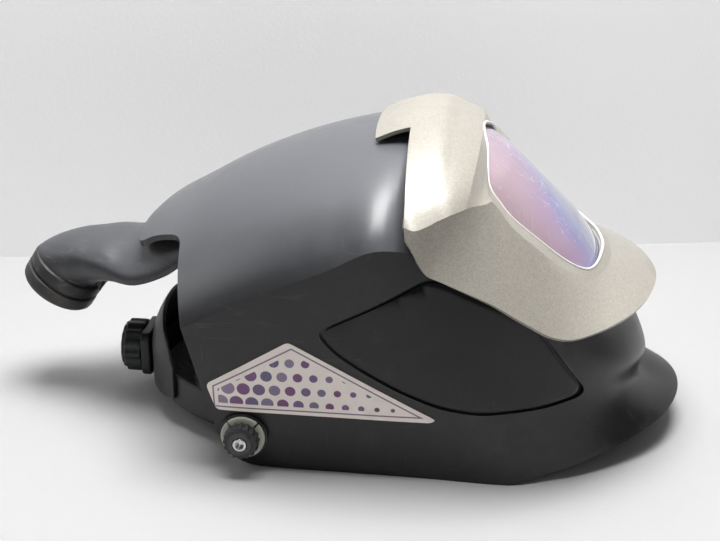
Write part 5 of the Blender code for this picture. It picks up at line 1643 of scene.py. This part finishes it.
@dataclass
class Headband:
    """Headband folded back inside the shell: ring, cradle, straps, arms, ratchet and fleece pads."""

    middle_x: float = 0.061
    half_length: float = 0.090
    half_width: float = 0.082
    rear_z: float = 0.0255
    front_z: float = 0.0145
    width: float = 0.018
    thickness: float = 0.0020
    brow_thickness: float = 0.0065
    brow_reach: float = math.radians(62)
    cradle_reach: float = math.radians(42)
    cradle_rise: float = 0.036
    cradle_drop: float = 0.013
    cradle_thickness: float = 0.0022
    cradle_lean: float = 13.0
    nape_reach: float = math.radians(62)
    nape_upper: tuple[float, float] = (-0.53, 0.00)
    nape_lower: tuple[float, float] = (-1.10, 0.95)
    nape_strap_thickness: float = 0.0016
    nape_thickness: float = 0.0070
    crown_rise: float = 0.084
    crown_lean: float = math.radians(22)
    crown_width: float = 0.016
    crown_thickness: float = 0.0016
    arm_thickness: float = 0.0025
    arm_length: float = 0.034
    arm_height: float = 0.015
    housing: tuple[float, float, float] = (0.034, 0.028, 0.0060)
    ratchet_radius: float = 0.0165
    ratchet_thickness: float = 0.0135
    ribs: int = 14
    rib_depth: float = 0.0009

    def line(self, turn: Array, rise: Array, outward: Array) -> Array:
        """Points on the headband's line: an ellipse whose height follows the turn, 0 at the brow.

        The rise is added to the height, and above half the band's width it also leans the point forward
        by the square of the excess.

        Args:
            turn: Radians round the head from the brow.
            rise: Height over the band's middle.
            outward: Distance outside the band.

        Returns:
            The points.
        """
        turn, rise, outward = np.broadcast_arrays(turn, rise, outward)
        back = (1 - np.cos(turn)) / 2
        lean = self.cradle_lean * np.maximum(0.0, rise - self.width / 2) ** 2 * back
        x = self.middle_x + (self.half_length + outward) * np.cos(turn) + lean
        z = self.front_z + (self.rear_z - self.front_z) * back + rise
        return np.stack([x, -(self.half_width + outward) * np.sin(turn), z], axis=-1)

    @staticmethod
    def capped(grid: Array) -> Array:
        """A tube of sections with its ends closed on their middles."""
        first, last = grid[:1].mean(axis=1, keepdims=True), grid[-1:].mean(axis=1, keepdims=True)
        ends = [np.broadcast_to(end, (1,) + grid.shape[1:]) for end in (first, last)]
        return np.concatenate([ends[0], grid, ends[1]])

    @staticmethod
    def section(half_along: float, thickness: float, count: int = 28) -> tuple[Array, Array]:
        """Rounded flat section: squared-off cosine along it and sine through it."""
        angle = (np.arange(count) + 0.5) * 2 * np.pi / count
        through = thickness / 2 * (1 + signed_power(np.sin(angle), 0.5))
        return half_along * signed_power(np.cos(angle), 0.12), through

    def solid(self, name: str, grid: Array, loop_rows: bool = False) -> Piece:
        """A closed tube of sections as an object."""
        mesh = mesh_from_grid(name, grid if loop_rows else self.capped(grid), loop_rows=loop_rows,
                              loop_columns=True)
        face_outwards(mesh)
        return new_object(name, mesh)

    def ring(self) -> Piece:
        """The band all round the head."""
        rise, outward = self.section(self.width / 2, self.thickness)
        turn = np.arange(160) * 2 * np.pi / 160
        ring = self.solid("band_ring", self.line(turn[:, None], rise, outward), True)
        return Workshop.finish(ring, Body.HEADBAND, BAND.material(), "band_dark", ("headband_ring",), 50)

    def cradle(self) -> Piece:
        """Rear cradle, whose edges fall away to its ends as the root of 1 - 0.85 u squared."""
        u = np.linspace(-1, 1, 73)[:, None]
        fall = np.sqrt(1 - 0.85 * u ** 2)
        rise = -self.cradle_drop * fall + (self.cradle_rise + self.cradle_drop) * fall * np.linspace(0, 1, 25)
        grid = self.line(np.pi + u * self.cradle_reach, rise, self.thickness + GAP)
        cradle = new_object("cradle_body", mesh_from_grid("cradle_body", grid, flip=True))
        Workshop.wall(cradle, self.cradle_thickness, 1.0)
        Workshop.bevel(cradle, 0.0007, 3, 50)
        return Workshop.finish(cradle, Body.HEADBAND, BAND.material(), "band_dark", ("rear_cradle",), 35)

    def nape_section(self, thickness: float, inward: float) -> tuple[Array, Array]:
        """Section of the slanting nape strap or pad as rise and outward distances.

        Args:
            thickness: Thickness of the strap or pad.
            inward: Shift towards the head.

        Returns:
            Rises and outward distances.
        """
        (low_rise, low_in), (high_rise, high_in) = self.nape_lower, self.nape_upper
        low = np.array((low_rise, -low_in)) * self.width
        high = np.array((high_rise, -high_in)) * self.width
        along = (high - low) / np.linalg.norm(high - low)
        normal = np.array((-along[1], along[0]))
        normal = normal if normal[1] > 0 else -normal
        a, b = self.section(np.linalg.norm(high - low) / 2, thickness)
        points = (low + high) / 2 + a[:, None] * along + (b - inward)[:, None] * normal
        return points[:, 0], points[:, 1]

    def nape_strap(self) -> Piece:
        """Thin strap under the nape."""
        rise, outward = self.nape_section(self.nape_strap_thickness, 0.0)
        turn = np.pi + np.linspace(-1, 1, 90)[:, None] * self.nape_reach
        strap = self.solid("nape_strap_body", self.line(turn, rise, outward))
        return Workshop.finish(strap, Body.HEADBAND, BAND.material(), "band_dark", ("nape_strap",), 50)

    def pad(self, name: str, node: str, reach: float, middle: float, thickness: float, rise_low: float,
            rise_high: float, out_low: float, out_high: float) -> Piece:
        """Crowned fleece pad along the inside of the band.

        Its back lies flat against the carrier. Its front swells as a rounded section whose depth and width
        shrink towards both ends, and a sum of sines makes the soft unevenness of the fleece.

        Args:
            name: The piece's name.
            node: The CAD node that it stands for.
            reach: Half the turn that it covers.
            middle: Turn of its middle.
            thickness: Its full thickness.
            rise_low: Rise of its lower edge.
            rise_high: Rise of its upper edge.
            out_low: Outward distance of its lower edge.
            out_high: Outward distance of its upper edge.

        Returns:
            The pad.
        """
        u = np.linspace(-0.9995, 0.9995, 181)[:, None]
        angle = np.arange(64) * 2 * np.pi / 64
        size = (1 - np.abs(u) ** 7) ** 0.4
        along = 0.5 + 0.5 * signed_power(np.cos(angle), 0.55) * (0.55 + 0.45 * size)
        depth = thickness * size * (0.5 + 0.5 * signed_power(np.sin(angle), 0.62))
        puff = 0.93 + 0.05 * np.sin(u * 21 + 1.1) * np.sin(angle * 2 + 0.4)
        depth = depth * (puff + 0.02 * np.sin(u * 57 + angle * 3))
        low, high = np.array((rise_low, out_low)), np.array((rise_high, out_high))
        slope = (high - low) / np.linalg.norm(high - low)
        inward = np.array((slope[1], -slope[0]))
        inward = inward if inward[1] < 0 else -inward
        rise = low[0] + (high[0] - low[0]) * along + inward[0] * depth
        outward = low[1] + (high[1] - low[1]) * along + inward[1] * depth
        pad = self.solid(name, self.line(middle + u * reach, rise, outward))
        Workshop.finish(pad, Body.HEADBAND, FLEECE.material(), "pad_fleece", (node,), 80)
        return pad

    def fuzz(self, name: str, pad: Piece, count: int, length: float, colour: Fleece, low_only: bool,
             seed: int) -> Piece:
        """Short fibres that stand off a pad: thin bent strips from random points along mixed directions.

        Args:
            name: The piece's name.
            pad: The pad that carries the fibres.
            count: Number of fibres.
            length: Longest fibre.
            colour: Their finish.
            low_only: Whether they grow only from the pad's lower edge.
            seed: Seed of the random numbers.

        Returns:
            The fibres as one piece.
        """
        mesh = pad.data
        points, normals = np.empty(len(mesh.vertices) * 3), np.empty(len(mesh.vertices) * 3)
        mesh.vertices.foreach_get("co", points)
        mesh.vertex_normals.foreach_get("vector", normals)
        points, normals = points.reshape(-1, 3), normals.reshape(-1, 3)
        if low_only:
            chosen = normals[:, 2] < -0.55
            points, normals = points[chosen], normals[chosen]
        random = np.random.default_rng(seed)
        pick = random.integers(0, len(points), count)
        root = points[pick] + random.normal(0, 0.0006, (count, 3)) * (1, 1, 0.2)
        lean = normals[pick] + random.normal(0, 0.55, (count, 3))
        lean /= np.linalg.norm(lean, axis=1)[:, None]
        long = length * random.uniform(0.4, 1.0, (count, 1))
        side = np.cross(lean, random.normal(0, 1, (count, 3)))
        side *= 0.00009 / np.linalg.norm(side, axis=1)[:, None]
        bend = random.normal(0, 0.35, (count, 3)) * long
        middle, tip = root + lean * long * 0.5 + bend * 0.25, root + lean * long + bend
        corners = np.stack([root - side, root + side, middle - side, middle + side, tip], axis=1)
        corners[..., 2] = np.maximum(corners[..., 2], 0.0006)
        base = (np.arange(count) * 5)[:, None]
        faces = np.concatenate([base + (0, 1, 3), base + (0, 3, 2), base + (2, 3, 4)])
        fibres = bpy.data.meshes.new(name)
        fibres.from_pydata(corners.reshape(-1, 3).tolist(), [], faces.tolist())
        item = new_object(name, fibres)
        item.data.transform(Matrix.Translation((-SHIFT, 0, 0)))
        return Workshop.finish(item, Body.HEADBAND, colour.material(), "pad_fleece", (), 80)

    def crown(self) -> Piece:
        """Strap over the head: a rounded flat section carried along a leaning half ellipse."""
        up = np.array((math.sin(self.crown_lean), 0, math.cos(self.crown_lean)))
        flat = np.array((math.cos(self.crown_lean), 0, -math.sin(self.crown_lean)))
        foot = np.array((self.middle_x, 0, (self.rear_z + self.front_z) / 2))
        a, b = self.section(self.crown_width / 2, self.crown_thickness)
        turn = np.linspace(0, np.pi, 120)[:, None]
        inner = self.half_width - 2 * GAP - self.crown_thickness
        centre = foot + np.concatenate([0 * turn, -inner * np.cos(turn), 0 * turn], axis=1)
        centre = centre + up * self.crown_rise * np.sin(turn)
        outward = np.concatenate([0 * turn, -np.cos(turn) / inner, 0 * turn], axis=1)
        outward = outward + up * np.sin(turn) / self.crown_rise
        outward /= np.linalg.norm(outward, axis=1)[:, None]
        grid = centre[:, None] + flat * a[:, None] + outward[:, None] * b[:, None]
        crown = self.solid("crown_strap_body", grid)
        return Workshop.finish(crown, Body.HEADBAND, BAND.material(), "band_dark", ("crown_strap",), 50)

    def arm(self, side: Side) -> Piece:
        """Arm that joins the band's side to the pivot stud."""
        rear, half = PIVOT.x - self.arm_height / 2, self.arm_height / 2
        corners = np.array([(rear, PIVOT.z - half), (rear + self.arm_length, PIVOT.z - half),
                            (rear + self.arm_length, PIVOT.z + half), (rear, PIVOT.z + half)])
        face = PIVOT.arm_face
        plate = side_prism("arm_" + side.word, rounded(corners, half * 0.9, 10), face - self.arm_thickness,
                           face, side)
        block = box_outline(self.arm_height * 0.32, self.arm_height * 0.40, 0.002,
                            (self.middle_x, PIVOT.z - 0.002))
        near = self.half_width + self.thickness + GAP
        Workshop.cut(plate, side_prism("block", block, near, face - self.arm_thickness / 2, side), "UNION")
        Workshop.bevel(plate, 0.0006, 3, 50)
        return Workshop.finish(plate, Body.HEADBAND, BAND.material(), "band_dark",
                               ("headband_arm_" + side.word,))

    def ratchet(self) -> list[Piece]:
        """Ratchet housing behind the cradle and its ribbed knob."""
        reach = self.thickness + GAP + self.cradle_thickness + GAP
        rear = Vector(self.line(np.pi, 0.0, reach).tolist())
        width, height, depth = self.housing
        back = Vector((-1, 0, 0))
        turn = back.to_track_quat("Z", "Y").to_matrix().to_4x4()
        outline = box_outline(height / 2, width / 2, 0.006)
        across = np.abs(np.array(turn.to_3x3() @ Vector((1, 0, 0))))
        outline = outline if across[2] > 0.5 else outline[:, ::-1]
        housing = prism("ratchet_case", outline, 0.0, depth, Matrix.Translation(rear) @ turn)
        Workshop.bevel(housing, 0.0012, 3, 50)
        Workshop.finish(housing, Body.HEADBAND, BAND.material(), "band_dark", ("ratchet_housing",))
        radius, high = self.ratchet_radius, self.ratchet_thickness
        profile = np.array([
            (0.0, GAP), (radius - 0.0006, GAP), (radius, GAP + 0.0006), (radius, high * 0.70),
            (radius * 0.985, high * 0.77), (radius * 0.94, high * 0.80), (radius * 0.90, high * 0.82),
            (radius * 0.88, high * 0.88), (radius * 0.85, high * 0.96), (radius * 0.78, high), (0.0, high)])
        depths = np.array([0, 1, 1, 1, 1, 0.9, 0.8, 0.8, 0.6, 0.3, 0]) * self.rib_depth
        grid = placed(revolve_grid(profile, self.ribs * 14, self.ribs, depths, 0.6),
                      rear - Vector((depth, 0, 0)), back)
        mesh = mesh_from_grid("ratchet_wheel", grid, loop_rows=True)
        face_outwards(mesh)
        knob = Workshop.finish(new_object("ratchet_wheel", mesh), Body.RATCHET, BAND.material(), "band_dark",
                               ("ratchet_knob",), 35)
        return [housing, knob]

    def build(self) -> list[Piece]:
        """Every piece of the headband."""
        half = self.width / 2
        brow = self.pad("brow_fleece", "brow_pad", self.brow_reach, 0.0, self.brow_thickness, -half, half,
                        -GAP, -GAP)
        low, high = np.array(self.nape_lower) * self.width, np.array(self.nape_upper) * self.width
        nape = self.pad("nape_fleece", "nape_pad", self.nape_reach, np.pi, self.nape_thickness,
                        low[0], high[0], -low[1] - GAP, -high[1] - GAP)
        pieces = [self.ring(), self.cradle(), self.nape_strap(), self.crown(), brow, nape]
        pieces += [self.arm(side) for side in Side] + self.ratchet()
        pieces.append(self.fuzz("brow_fuzz", brow, 7000, 0.0016, FLEECE, False, 3))
        pieces.append(self.fuzz("nape_fuzz", nape, 7000, 0.0018, FLEECE, False, 5))
        pieces.append(self.fuzz("nape_lint", nape, 900, 0.0024, LINT, True, 7))
        return pieces


@dataclass
class Studio:
    """Pale wall and floor, soft lights and the camera of the photograph."""

    target: tuple[float, float, float] = (0.0076, 0.0, 0.082)
    azimuth: float = math.radians(7)
    elevation: float = math.radians(22)
    distance: float = 0.85
    lens: float = 70.83
    wall_distance: float = 0.245
    wall_turn: float = math.radians(10.3)

    def plane(self, name: str, corners: list[tuple[float, float, float]], finish: Paper) -> None:
        """One flat sheet of the stage."""
        mesh = bpy.data.meshes.new(name)
        mesh.from_pydata(corners, [], [(0, 1, 2, 3)])
        mesh.materials.append(finish.material())
        new_object(name, mesh)

    def light(self, name: str, place: tuple[float, float, float], aim: tuple[float, float, float],
              size: float, power: float, colour: Colour = (1.0, 1.0, 1.0)) -> None:
        """One soft area light.

        Args:
            name: The light's name.
            place: Where it is.
            aim: What it points at.
            size: Side of its square.
            power: In watts.
            colour: Its colour.
        """
        data = bpy.data.lights.new(name, "AREA")
        data.energy, data.size, data.color = power, size, colour
        item = bpy.data.objects.new(name, data)
        bpy.context.scene.collection.objects.link(item)
        item.location = place
        item.rotation_euler = (Vector(aim) - Vector(place)).to_track_quat("-Z", "Y").to_euler()

    def camera(self) -> None:
        """The camera at the photograph's angle."""
        back = Vector((math.sin(self.azimuth) * math.cos(self.elevation),
                       -math.cos(self.azimuth) * math.cos(self.elevation), math.sin(self.elevation)))
        data = bpy.data.cameras.new("photo_camera")
        data.lens, data.sensor_width = self.lens, 36.0
        item = bpy.data.objects.new("photo_camera", data)
        bpy.context.scene.collection.objects.link(item)
        item.location = Vector(self.target) + back * self.distance
        item.rotation_euler = (-back).to_track_quat("-Z", "Y").to_euler()
        bpy.context.scene.camera = item

    def build(self) -> None:
        """Stage, lights and camera."""
        self.plane("studio_floor", [(-4, -4, 0), (4, -4, 0), (4, 4, 0), (-4, 4, 0)],
                   Paper("floor_paper", (0.47, 0.465, 0.465)))
        along = Vector((math.cos(self.wall_turn), math.sin(self.wall_turn), 0))
        away = Vector((-along.y, along.x, 0))
        foot = away * self.wall_distance
        left, right = foot - along * 4, foot + along * 4
        up = Vector((0, 0, 3))
        self.plane("studio_wall", [tuple(left), tuple(right), tuple(right + up), tuple(left + up)],
                   Paper("wall_paper", (0.97, 0.97, 0.975), one_sided=True))
        self.light("key", (0.05, 0.08, 1.20), (0.0, 0.08, 0.08), 0.7, 30.0)
        self.light("front_fill", (0.4, -1.8, 1.3), (0.0, 0.1, 0.05), 0.6, 2.0)
        self.light("left_fill", (-1.1, -0.2, 0.8), (0.0, 0.0, 0.08), 0.5, 2.0)
        # The default transform greys the helmet's blacks.
        bpy.context.scene.view_settings.view_transform = "Standard"
        world = bpy.context.scene.world or bpy.data.worlds.new("studio_world")
        bpy.context.scene.world = world
        world.use_nodes = True
        world.node_tree.nodes["Background"].inputs["Color"].default_value = (0.9, 0.92, 0.95, 1.0)
        world.node_tree.nodes["Background"].inputs["Strength"].default_value = 0.14
        self.camera()


def main() -> None:
    """Build every sub-assembly in order."""
    logging.basicConfig(level=logging.INFO, format="%(name)s %(message)s")
    Studio().build()
    shell = HelmetShell()
    shell.build()
    shell.filter()
    for assembly in (SideWindows(), FrontCover(), LensPlate(), AirDuct(), PIVOT, Headband()):
        assembly.build()


if __name__ == "__main__":
    main()
